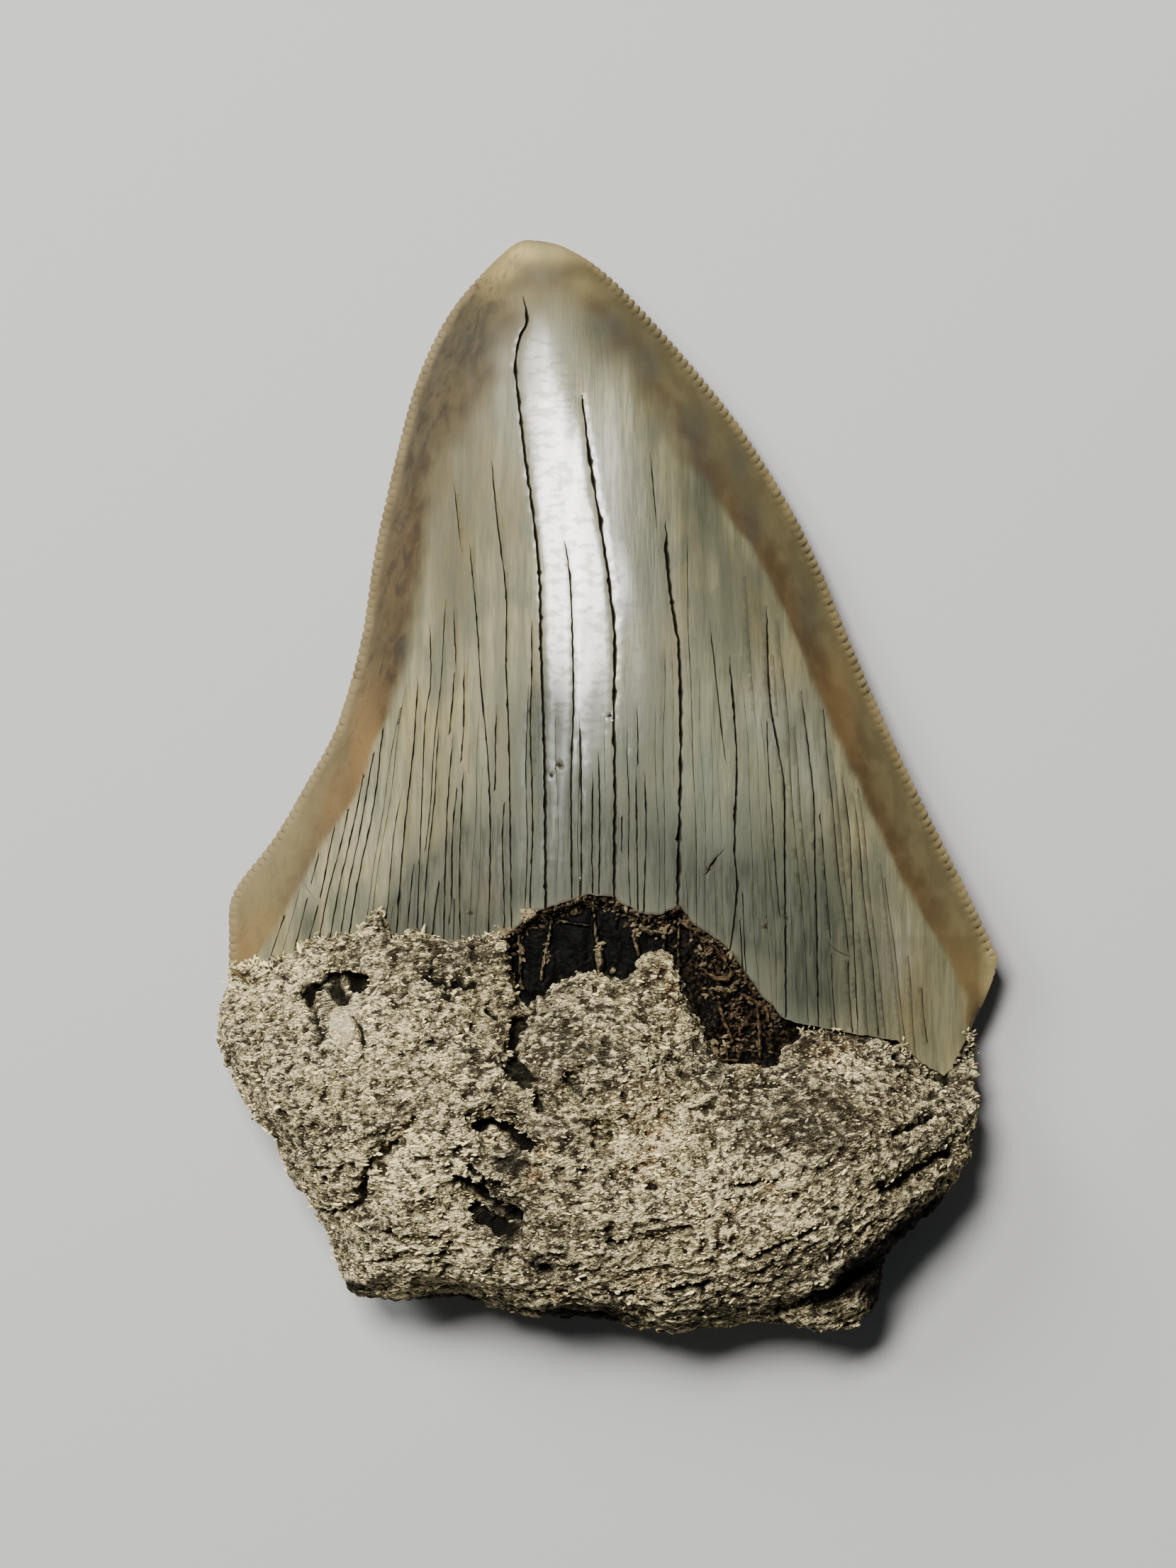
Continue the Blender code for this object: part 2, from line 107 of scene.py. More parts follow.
# Inner limit of the smooth brown margin along both cutting edges.
MARGIN_LEFT = [
    (-33.0, -17.0), (-30.0, -12.1), (-27.4, -7.5), (-26.1, -4.9), (-24.1, -2.3), (-21.8, 3.0),
    (-19.2, 9.5), (-17.9, 15.4), (-16.8, 22.7), (-15.6, 30.5), (-11.7, 35.8), (-9.5, 40.5),
    (-8.0, 44.5), (-5.8, 46.6),
]
MARGIN_RIGHT = [
    (33.2, -20.0), (30.7, -14.8), (28.7, -11.3), (25.7, -6.2), (21.2, 4.3), (18.9, 9.5),
    (15.9, 17.0), (13.4, 21.7), (9.8, 26.5), (6.1, 32.0), (1.4, 39.7), (-2.5, 44.3), (-5.8, 46.6),
]

# Main cracks: width, then the way down the crown.
MAIN_CRACKS = [
    (0.38, [(-7.9, 45.3), (-7.5, 43.0), (-8.1, 41.7), (-8.6, 39.1), (-8.3, 35.8), (-7.7, 30.5),
            (-6.8, 24.0), (-6.3, 18.7), (-6.2, 13.5), (-6.0, 7.6), (-5.8, 0.4), (-5.7, -14.0)]),
    (0.38, [(-2.4, 35.8), (-1.6, 29.2), (-0.7, 24.0), (0.1, 18.1), (0.6, 13.5), (0.5, 6.9),
            (0.6, 0.4), (0.5, -14.0)]),
    (0.23, [(-4.0, 22.3), (-3.5, 18.7), (-3.3, 13.5), (-3.2, 6.9), (-3.4, 0.4), (-3.3, -14.0)]),
    (0.15, [(3.9, 30.5), (4.2, 26.6), (4.5, 23.3)]),
    (0.42, [(5.3, 24.0), (5.4, 20.7), (5.8, 16.8), (6.4, 12.8), (6.6, 6.9), (6.5, -2.3), (6.2, -14.0)]),
    (0.17, [(9.3, 14.8), (9.8, 10.2), (10.5, 3.6), (10.8, 1.7)]),
    (0.27, [(11.1, 11.5), (11.7, 3.0), (11.5, -4.9), (11.7, -10.1), (10.9, -16.0)]),
    (0.28, [(14.6, 16.1), (14.8, 8.2), (15.5, 3.6), (16.1, -0.3), (16.1, -6.2), (16.2, -22.5)]),
    (0.23, [(17.8, 8.2), (18.2, 4.9), (18.8, -1.0), (18.9, -6.2), (19.2, -23.0)]),
    (0.19, [(21.6, 0.4), (22.2, -4.9), (22.4, -12.8), (22.9, -23.5)]),
    (0.21, [(-10.8, 29.9), (-10.2, 24.0), (-9.4, 17.4), (-9.4, 10.9), (-9.1, 3.6), (-8.8, -16.0)]),
    (0.14, [(-14.3, 27.9), (-13.6, 21.4)]),
    (0.20, [(-12.8, 22.0), (-12.1, 14.8), (-11.7, 9.0), (-11.0, 1.7), (-10.8, -6.0), (-11.0, -16.0)]),
    (0.19, [(-14.3, 16.1), (-14.0, 10.5)]),
    (0.18, [(-16.5, 14.8), (-16.4, 9.5), (-16.9, 6.0), (-17.1, 0.0), (-17.6, -16.0)]),
    (0.21, [(-17.6, 9.5), (-18.0, 3.0), (-18.8, -4.9), (-19.6, -16.0)]),
    (0.19, [(-14.3, 4.3), (-14.8, -2.9), (-15.1, -16.0)]),
    (0.18, [(-13.3, 1.7), (-13.6, -6.9), (-13.5, -16.0)]),
    (0.20, [(-0.9, 2.8), (-0.8, -4.0), (-0.9, -12.0)]),
    (0.22, [(2.5, 1.4), (2.6, -5.0), (2.7, -13.0)]),
]
SCRATCHES = [
    (0.07, [(-3.8, 22.5), (-1.5, 23.6)]),
    (0.07, [(-6.4, 21.2), (-0.5, 19.7)]),
    (0.46, [(8.9, -8.2), (9.5, -7.2), (10.5, -5.9)]),
    (0.07, [(16.2, -2.6), (18.9, -2.7)]),
    (0.08, [(19.2, -13.6), (21.0, -15.3), (23.4, -16.2)]),
    (0.10, [(-15.3, -6.9), (-14.9, -5.8), (-14.5, -7.0)]),
    (0.08, [(-28.4, -8.8), (-26.8, -11.1)]),
    (0.06, [(14.9, -2.4), (16.9, -2.3)]),
]
# Small dark pits: place, half sizes and depth.
PITS = [
    (-4.5, 1.7, 0.36, 0.28, 0.05), (-5.2, 0.8, 0.20, 0.30, 0.04), (0.1, 6.2, 0.30, 0.30, 0.03),
    (9.1, -7.8, 0.34, 0.36, 0.06), (14.3, -13.0, 0.26, 0.46, 0.03), (16.2, -12.2, 0.22, 0.44, 0.10),
    (-12.6, -11.8, 0.36, 0.26, 0.04),
]
PIT_RINGS = [(0.30, 0.9), (0.70, 0.6), (1.30, 0.0)]
PIT_POINTS = 8
# A crack: depth and lips for its width, how far it wanders and tapers, and where its lips spall.
CRACK_DEPTH = 1.8
CRACK_WANDER = 0.28
CRACK_TAPER = 2.5
CRACK_TIP = 0.25
# A crack's floor and lips are also painted darker the wider it opens: painted shade in the groove.
LIP_SINK = 0.03
LIP_DARKNESS = 0.13
BLACK_FROM_WIDTH = 0.09
SPALL_ABOVE = 0.28
SPALL_WIDENING = 2.6
SPALL_FROM_WIDTH = 0.12
# Hairlines: they fan out from the middle of the foot, and reach highest near the ridge.
HAIRLINE_WIDTH = 0.158
HAIRLINE_SPACING = 0.84
STRONG_HAIRLINE = (0.85, 1.30)
FAINT_HAIRLINE = (0.32, 0.62)
STRONG_SHARE = 0.58
STRONG_SHARE_RIGHT = 0.26
RIGHT_FROM_X = 8.0
PLAIN_CORNER = 3.6
PLAIN_CORNER_X = (14.0, 22.0)
PLAIN_CORNER_Y = (-1.0, -18.0)
HAIRLINE_FROM_X = -29.5
HAIRLINE_TO_X = 32.0
HAIRLINE_JITTER = 0.3
HAIRLINE_LEVEL_Y = -8.0
HAIRLINE_START_Y = -27.0
HAIRLINE_STRIDE = 2.0
HAIRLINE_TOP = (0.0, 14.0)
HAIRLINE_DRIFT = 0.35
FAN_MIDDLE_X = -3.0
FAN_LEAN_LEFT = -0.30
FAN_LEAN_RIGHT = 0.12
FAN_REACH_LEFT = 26.0
FAN_REACH_RIGHT = 30.0
MIDDLE_REACH = 14.0
MIDDLE_RISE = 6.0
LONG_SHARE = 0.2
LONG_RISE = 9.0
RIDGE_FROM_X = -5.5
RIDGE_TO_X = 5.0
RIDGE_TOP_Y = 6.0
RIDGE_TOP_SPREAD = 9.0
CRACK_STEP = 0.32
CLEAR_OF_MAIN = 0.42
SHORTEST_RUN = 9

CROWN_GRID = 0.38
BACK_GRID = 1.0
GRID_FOOT_Y = -27.5
GRID_LENGTH = 80.0
CLEAR_OF_FIXED = 0.6
EDGE_CLEARANCE = 0.12
BORDER_CLEARANCE = 0.08
FIELD_INSET = 0.15
BORDER_GAP = 0.05
BORDER_STEP = 0.22
BACK_BORDER_STEP = 0.5
FOOT_STEP = 0.8
KEEP_INSIDE = 1
PLAN_TOLERANCE = 1e-6
PLATE_WAVE = 0.035
PLATE_KINK = 0.30
PLATE_KINK_REACH = 3.0

rng = random.Random(7)


def smoothstep(low, high, value):
    """Ease from 0 at low to 1 at high, for numbers and for arrays."""
    t = np.clip((value - low) / (high - low), 0.0, 1.0)
    return t * t * (3.0 - 2.0 * t)


def spline(points, step):
    """Points about one step apart on a Catmull-Rom curve through the given points, ends included."""
    ends = [points[0], *points, points[-1]]
    path = []
    for i in range(len(points) - 1):
        p0, p1, p2, p3 = (Vector(p) for p in ends[i:i + 4])
        count = max(1, round((p2 - p1).length / step))
        for k in range(count):
            t = k / count
            path.append(0.5 * (2 * p1 + (p2 - p0) * t + (2 * p0 - 5 * p1 + 4 * p2 - p3) * t ** 2
                               + (3 * p1 - p0 - 3 * p2 + p3) * t ** 3))
    path.append(Vector(points[-1]))
    return path


def along(path, step):
    """The path walked again with points exactly one step apart along its length."""
    walked = [path[0].copy()]
    left = step
    for start, end in zip(path, path[1:]):
        length = (end - start).length
        while left <= length:
            walked.append(start.lerp(end, left / length))
            left += step
        left -= length
    return walked


def by_level(points, level):
    """x on a line that runs up the tooth, at one or many levels."""
    xs, ys = zip(*sorted(points, key=lambda point: point[1]))
    return np.interp(level, ys, xs)


def border_y(border, x):
    """Level of a border at x."""
    xs, ys = zip(*border)
    return np.interp(x, xs, ys)


def noise_over(xs, ys, size_x, size_y, shift):
    """Noise from -1 to 1 at places on the plan, with features of a size along each axis."""
    return np.array([noise.noise((x / size_x, y / size_y, shift)) for x, y in zip(xs, ys)])


def chipped(border, step, reach):
    """A border with small chips, as points a step apart in x."""
    xs = np.arange(border[0][0], border[-1][0], step)
    chips = [noise.noise((x / 0.8, 1.0, 0.0)) + 0.6 * noise.noise((x / 0.35, 4.0, 0.0)) for x in xs]
    return list(zip(xs, border_y(border, xs) + reach * np.array(chips)))


ENAMEL_END = chipped(ENAMEL_BORDER, 0.15, 0.22)
LEFT_PATH = spline(LEFT_EDGE, 0.25)
RIGHT_PATH = spline(RIGHT_EDGE, 0.25)
LEFT_XS, LEFT_YS = zip(*LEFT_PATH)
RIGHT_XS, RIGHT_YS = zip(*reversed(RIGHT_PATH))


def across(x, y):
    """Place across the crown: -1 on its left edge, 1 on its right edge."""
    level = np.maximum(y, CROWN_FOOT_Y)
    left = np.interp(level, LEFT_YS, LEFT_XS)
    right = np.interp(level, RIGHT_YS, RIGHT_XS)
    return np.clip((2.0 * x - left - right) / np.maximum(right - left, 0.01), -1.0, 1.0)


def down_the_crown(y):
    """0 at the tip, 1 at the foot of the crown."""
    return np.clip((TIP_Y - y) / (TIP_Y - CROWN_FOOT_Y), 0.0, 1.0)


def rim_z(x, y):
    """Height of the middle of the cutting edge, and of the root's side below it."""
    crown = TIP_EDGE_Z + (LOBE_EDGE_Z - TIP_EDGE_Z) * down_the_crown(y)
    start = ROOT_RIM_LEFT_Y + (ROOT_RIM_RIGHT_Y - ROOT_RIM_LEFT_Y) * smoothstep(-20.0, 20.0, x)
    rootness = smoothstep(0.0, ROOT_RIM_RISE, start - y)
    return crown + (ROOT_RIM_Z - crown) * rootness


def crown_front(x, y):
    """Height of the domed inner face."""
    dome = CROWN_DOME * np.sin(down_the_crown(y) * math.pi / 2) ** DOME_START
    u = across(x, y)
    leaned = np.abs(u - RIDGE_LEAN * (1.0 - u * u))
    return rim_z(x, y) + dome * (1.0 - leaned ** DOME_SHAPE) ** DOME_POWER + CUTTING_EDGE / 2


def crown_back(x, y):
    """Height of the nearly flat outer face."""
    rim = rim_z(x, y) - CUTTING_EDGE / 2
    border = border_y(BACK_BORDER, x)
    t = np.clip((TIP_REST_Y - y) / (TIP_REST_Y - border), -1.0, 1.0)
    middle = OUTER_FACE_BOW * np.sin(math.pi * t) ** 2 + BACK_LEDGE * smoothstep(0.0, 1.0, t)
    return rim - (rim - middle) * (1.0 - across(x, y) ** 2) ** OUTER_FACE_POWER


def serrated(path, depth, notch_rows):
    """Cut rounded serrations into a clockwise cutting edge.

    Gives the edge and the rows of points that carry each notch a little way into the face.
    """
    fine = along(path, SERRATION_PITCH / SERRATION_SAMPLES)
    cut = [fine[0]]
    rows = []
    for i in range(1, len(fine) - 1):
        forward = (fine[i + 1] - fine[i - 1]).normalized()
        inward = Vector((forward.y, -forward.x))
        fade = float(smoothstep(SERRATED_FROM_Y - SERRATION_FADE, SERRATED_FROM_Y, fine[i].y)
                     * smoothstep(-SERRATED_TO_Y - SERRATION_FADE, -SERRATED_TO_Y, -fine[i].y))
        wear = LEAST_WEAR + MORE_WEAR * noise.noise(Vector((fine[i].x, fine[i].y, 3.0)) / WEAR_PATCH)
        wave = 1.0 - abs(math.sin(math.pi * i / SERRATION_SAMPLES)) ** SERRATION_ROUNDNESS
        notch = wave * fade * wear
        cut.append(fine[i] + inward * depth * notch)
        for inset, sunk, dark in notch_rows:
            lowered = sunk * (notch - PROUD_BETWEEN_NOTCHES * fade)
            rows.append((fine[i] + inward * inset, lowered, dark * notch, False))
    cut.append(path[-1].copy())
    return cut, rows


def in_margin(x, y):
    """Distance in millimetres into the brown margin, negative inside the cracked field."""
    return np.maximum(x - by_level(MARGIN_RIGHT, y), by_level(MARGIN_LEFT, y) - x)


def hairlines():
    """Fine cracks that fan from the foot of the crown towards the tip, about a millimetre apart."""
    fan = []
    x = HAIRLINE_FROM_X
    while x < HAIRLINE_TO_X:
        place = x + rng.uniform(-HAIRLINE_JITTER, HAIRLINE_JITTER)
        side = place - FAN_MIDDLE_X
        if side < 0.0:
            lean = FAN_LEAN_LEFT * (side / FAN_REACH_LEFT) ** 2
        else:
            lean = FAN_LEAN_RIGHT * (side / FAN_REACH_RIGHT) ** 1.5
        top = rng.uniform(*HAIRLINE_TOP) + (MIDDLE_RISE if abs(side) < MIDDLE_REACH else 0.0)
        if rng.random() < LONG_SHARE:
            top += LONG_RISE
        if RIDGE_FROM_X < place < RIDGE_TO_X:
            top = min(top, RIDGE_TOP_Y + RIDGE_TOP_SPREAD * noise.noise(Vector((place / 0.6, 2.0, 0.0))))
        strong = STRONG_SHARE_RIGHT if place > RIGHT_FROM_X else STRONG_SHARE
        strength = rng.uniform(*(STRONG_HAIRLINE if rng.random() < strong else FAINT_HAIRLINE))
        wander = rng.uniform(0.0, 100.0)
        way = []
        y = HAIRLINE_START_Y
        while y < top:
            drift = HAIRLINE_DRIFT * noise.noise(Vector((wander, y / 9.0, 0.0)))
            way.append((place + lean * (HAIRLINE_LEVEL_Y - y) + drift, y))
            y += HAIRLINE_STRIDE
        if way:
            fan.append((HAIRLINE_WIDTH * strength, way[::-1]))
        x += HAIRLINE_SPACING * rng.uniform(0.75, 1.25)
    return fan


def long_runs(kept, shortest):
    """The same marks, with every run shorter than so many cleared."""
    marks = list(kept)
    start = 0
    for i in range(len(marks) + 1):
        if i == len(marks) or not marks[i]:
            if i - start < shortest:
                marks[start:i] = [False] * (i - start)
            start = i + 1
    return marks


def crack_rows(cracks, on_enamel, others=None):
    """Three rows of points down each crack: its floor and its two lips.

    Gives rows of place, depth, darkness, and whether the floor runs on from the last group of three.
    """
    rows = []
    for number, (width, way) in enumerate(cracks):
        path = along(spline(way, CRACK_STEP), CRACK_STEP)
        last = len(path) - 1
        kept = [on_enamel(place.x, place.y) for place in path]
        if others:
            clear = [others.find(place.to_3d())[2] >= CLEAR_OF_MAIN for place in path]
            kept = long_runs([on and free for on, free in zip(kept, clear)], SHORTEST_RUN)
        runs_on = False
        for i, place in enumerate(path):
            if not kept[i]:
                runs_on = False
                continue
            ahead = path[min(i + 1, last)]
            behind = path[max(i - 1, 0)]
            forward = (ahead - behind).normalized()
            aside = Vector((-forward.y, forward.x))
            seed = Vector((number * 7.3, i * CRACK_STEP, 0.0))
            open_width = width * (0.75 + 0.5 * noise.noise(seed / 1.3))
            chip = max(0.0, noise.noise(seed / 0.7 + Vector((50.0, 0.0, 0.0))) - SPALL_ABOVE)
            open_width += SPALL_WIDENING * chip * max(width - SPALL_FROM_WIDTH, 0.0)
            open_width *= min(1.0, CRACK_TIP + min(i, last - i) * CRACK_STEP / CRACK_TAPER)
            middle = place + aside * CRACK_WANDER * width * noise.noise(seed / 0.7 + Vector((0.0, 0.0, 9.0)))
            depth = CRACK_DEPTH * open_width
            # Painted shade: the wider the crack opens, the darker its floor is painted.
            dark = min(1.0, open_width / BLACK_FROM_WIDTH)
            rows.append((middle, depth, dark, runs_on))
            for lip in (middle + aside * open_width / 2, middle - aside * open_width / 2):
                rows.append((lip, LIP_SINK * dark, LIP_DARKNESS * dark, False))
            runs_on = True
    return rows


def pit_rows():
    """Rings of points round each pit, ragged and dark."""
    rows = []
    for x, y, half_x, half_y, depth in PITS:
        for share, dark in PIT_RINGS:
            for k in range(PIT_POINTS):
                angle = 2.0 * math.pi * (k + rng.uniform(-0.2, 0.2)) / PIT_POINTS
                reach = share * rng.uniform(0.55, 1.35)
                place = Vector((x + half_x * reach * math.cos(angle), y + half_y * reach * math.sin(angle)))
                rows.append((place, depth * dark, dark, False))
    return rows


def nearest_tree(places):
    """A search tree of places on the plan."""
    tree = kdtree.KDTree(len(places))
    for i, place in enumerate(places):
        tree.insert((place.x, place.y, 0.0), i)
    tree.balance()
    return tree


def grid_fill(step, fixed, keep):
    """A triangular grid of points over the crown, clear of the fixed ones."""
    taken = nearest_tree(fixed)
    row = step * math.sqrt(3.0) / 2.0
    points = []
    for j in range(int(GRID_LENGTH / row)):
        y = GRID_FOOT_Y + j * row
        left = float(np.interp(y, LEFT_YS, LEFT_XS))
        right = float(np.interp(y, RIGHT_YS, RIGHT_XS))
        for i in range(int((right - left) / step) + 1):
            x = left + (i + 0.5 * (j % 2)) * step
            if keep(x, y) and taken.find((x, y, 0.0))[2] > CLEAR_OF_FIXED * step:
                points.append(Vector((x, y)))
    return points


def border_rows(border, gap, step):
    """Two close rows of points along a border, so that the enamel ends in a crisp edge."""
    path = along([Vector(place) for place in border], step)
    rows = []
    for before, place, after in zip(path, path[1:], path[2:]):
        forward = (after - before).normalized()
        aside = Vector((-forward.y, forward.x)) * gap
        rows += [place + aside, place - aside]
    return rows


def inside(outline, x, y):
    """Whether a place is inside a closed outline."""
    xs, ys = outline
    next_xs = np.roll(xs, -1)
    next_ys = np.roll(ys, -1)
    spans = (ys > y) != (next_ys > y)
    crossing = xs[spans] + (next_xs[spans] - xs[spans]) * (y - ys[spans]) / (next_ys[spans] - ys[spans])
    return np.count_nonzero(crossing > x) % 2 == 1


def lay_face(ring, rows, surface, upward):
    """Triangulate one face inside the ring, with an edge down the floor of each crack.

    Gives its vertices past the ring, its faces and how dark those vertices are.
    """
    plan = ring + [row[0] for row in rows]
    floors = [(i - 3, i) for i, row in enumerate(rows, len(ring)) if row[3]]
    around = [list(range(len(ring)))]
    places, _, triangles, origins, _, _ = delaunay_2d_cdt(plan, floors, around, KEEP_INSIDE, PLAN_TOLERANCE)
    xs = np.array([place.x for place in places])
    ys = np.array([place.y for place in places])
    sunk = np.zeros(len(places))
    dark = np.zeros(len(places))
    index = np.full(len(places), -1)
    for i, origin in enumerate(origins):
        if origin and origin[0] < len(ring):
            index[i] = origin[0]
        elif origin:
            _, sunk[i], dark[i], _ = rows[origin[0] - len(ring)]
    heights = surface(xs, ys) - sunk
    new = index < 0
    index[new] = len(ring) + np.arange(np.count_nonzero(new))
    verts = np.column_stack((xs, ys, heights))[new]
    faces = []
    for a, b, c in triangles:
        turn = (xs[b] - xs[a]) * (ys[c] - ys[a]) - (ys[b] - ys[a]) * (xs[c] - xs[a])
        order = (a, b, c) if (turn > 0.0) == upward else (a, c, b)
        faces.append([int(index[v]) for v in order])
    return verts, faces, dark[new]


def build_crown():
    """The whole crown as one closed mesh, with its hidden foot inside the root."""
    right_edge, right_rows = serrated(RIGHT_PATH, RIGHT_SERRATION_DEPTH, RIGHT_NOTCH_ROWS)
    left_edge, left_rows = serrated(LEFT_PATH, LEFT_SERRATION_DEPTH, LEFT_NOTCH_ROWS)
    ring = right_edge[:-1] + along([Vector(p) for p in HIDDEN_FOOT], FOOT_STEP)[:-1] + left_edge[:-1]
    ring.reverse()
    outline = (np.array([place.x for place in ring]), np.array([place.y for place in ring]))
    ring_tree = nearest_tree(ring)

    def kept(x, y):
        return inside(outline, x, y) and ring_tree.find((x, y, 0.0))[2] > EDGE_CLEARANCE

    def on_front(x, y):
        return y > border_y(ENAMEL_END, x) + BORDER_CLEARANCE and kept(x, y)

    def on_field(x, y):
        clear = FIELD_INSET + PLAIN_CORNER * smoothstep(*PLAIN_CORNER_X, x) * smoothstep(*PLAIN_CORNER_Y, y)
        return in_margin(x, y) < -clear and on_front(x, y)

    notches = [row for row in right_rows + left_rows if on_front(row[0].x, row[0].y)]
    main = crack_rows(MAIN_CRACKS, on_front)
    main += crack_rows(SCRATCHES, on_front, nearest_tree([row[0] for row in main]))
    main_tree = nearest_tree([row[0] for row in main])
    rows = notches + main + crack_rows(hairlines(), on_field, main_tree)
    rows += [row for row in pit_rows() if on_front(row[0].x, row[0].y)]
    border = [place for place in border_rows(ENAMEL_END, BORDER_GAP, BORDER_STEP) if kept(*place)]
    fill = grid_fill(CROWN_GRID, ring + border + [row[0] for row in rows], kept)
    rows += [(place, 0.0, 0.0, False) for place in border + fill]

    def front_surface(xs, ys):
        kink = by_level(MAIN_CRACKS[0][1], ys) - xs
        tilt = PLATE_KINK * (1.0 - np.exp(-np.maximum(kink, 0.0) / PLATE_KINK_REACH))
        tilt *= smoothstep(0.0, 4.0, -in_margin(xs, ys))
        wave = noise_over(xs, ys, 1.6, 9.0, 4.0) + noise_over(xs, ys, 4.0, 5.0, 8.0)
        under = np.where(ys > border_y(ENAMEL_END, xs), 0.0, ENAMEL_THICK)
        edge = smoothstep(0.0, 1.5, np.minimum(1.5, (1.0 - np.abs(across(xs, ys))) * 30.0))
        return crown_front(xs, ys) + (PLATE_WAVE * wave - tilt) * edge - under

    front = lay_face(ring, rows, front_surface, True)

    def on_back(x, y):
        on_enamel = y > border_y(BACK_BORDER, x) + BORDER_CLEARANCE
        return on_enamel and in_margin(x, y) < -FIELD_INSET and kept(x, y)

    back_cracks = crack_rows(MAIN_CRACKS[::3], on_back)
    back_rows = [(place, -depth, dark, runs_on) for place, depth, dark, runs_on in back_cracks]
    border = [place for place in border_rows(BACK_BORDER, BORDER_GAP, BACK_BORDER_STEP) if kept(*place)]
    fill = grid_fill(BACK_GRID, ring + border + [row[0] for row in back_rows], kept)
    back_rows += [(place, 0.0, 0.0, False) for place in border + fill]

    def back_surface(xs, ys):
        under = np.where(ys > border_y(BACK_BORDER, xs), 0.0, ENAMEL_THICK)
        return crown_back(xs, ys) + under

    back = lay_face(ring, back_rows, back_surface, False)

    xs, ys = outline
    edge = rim_z(xs, ys)
    count = len(ring)
    top = np.column_stack((xs, ys, edge + CUTTING_EDGE / 2))
    low = np.column_stack((xs, ys, edge - CUTTING_EDGE / 2))
    verts = np.vstack((top, low, front[0], back[0]))
    faces = []
    for i in range(count):
        j = (i + 1) % count
        faces.append((count + i, count + j, j, i))
    for face in front[1]:
        faces.append([v if v < count else v + count for v in face])
    shift = len(front[0])
    for face in back[1]:
        faces.append([v + count if v < count else v + count + shift for v in face])
    dark = np.concatenate((np.zeros(2 * count), front[2], back[2]))
    return verts, faces, dark


def new_piece(name, verts, faces):
    """An object with its place in its mesh."""
    mesh = bpy.data.meshes.new(name)
    mesh.from_pydata((verts * MM).tolist(), [], faces)
    mesh.update()
    piece = bpy.data.objects.new(name, mesh)
    bpy.context.scene.collection.objects.link(piece)
    return piece


def give_attribute(piece, name, values):
    """Store one number for each vertex."""
    attribute = piece.data.attributes.new(name, "FLOAT", "POINT")
    attribute.data.foreach_set("value", np.asarray(values, dtype=np.float32))


def select_only(piece):
    """Make the piece the active object and the only one that is selected."""
    bpy.ops.object.select_all(action="DESELECT")
    piece.select_set(True)
    bpy.context.view_layer.objects.active = piece


def shade(piece, degrees):
    """Smooth the faces, but keep edges sharper than the angle."""
    select_only(piece)
    bpy.ops.object.shade_smooth_by_angle(angle=math.radians(degrees))


class Wire:
    """An output socket that takes part in sums, so that shader maths reads as maths."""

    def __init__(self, finish, socket):
        self.finish = finish
        self.socket = socket

    def sum(self, operation, left, right):
        return self.finish.node("ShaderNodeMath", {"operation": operation}, {0: left, 1: right})

    def __add__(self, other):
        return self.sum("ADD", self, other)

    def __radd__(self, other):
        return self.sum("ADD", other, self)

    def __sub__(self, other):
        return self.sum("SUBTRACT", self, other)

    def __rsub__(self, other):
        return self.sum("SUBTRACT", other, self)

    def __mul__(self, other):
        return self.sum("MULTIPLY", self, other)

    def __rmul__(self, other):
        return self.sum("MULTIPLY", other, self)


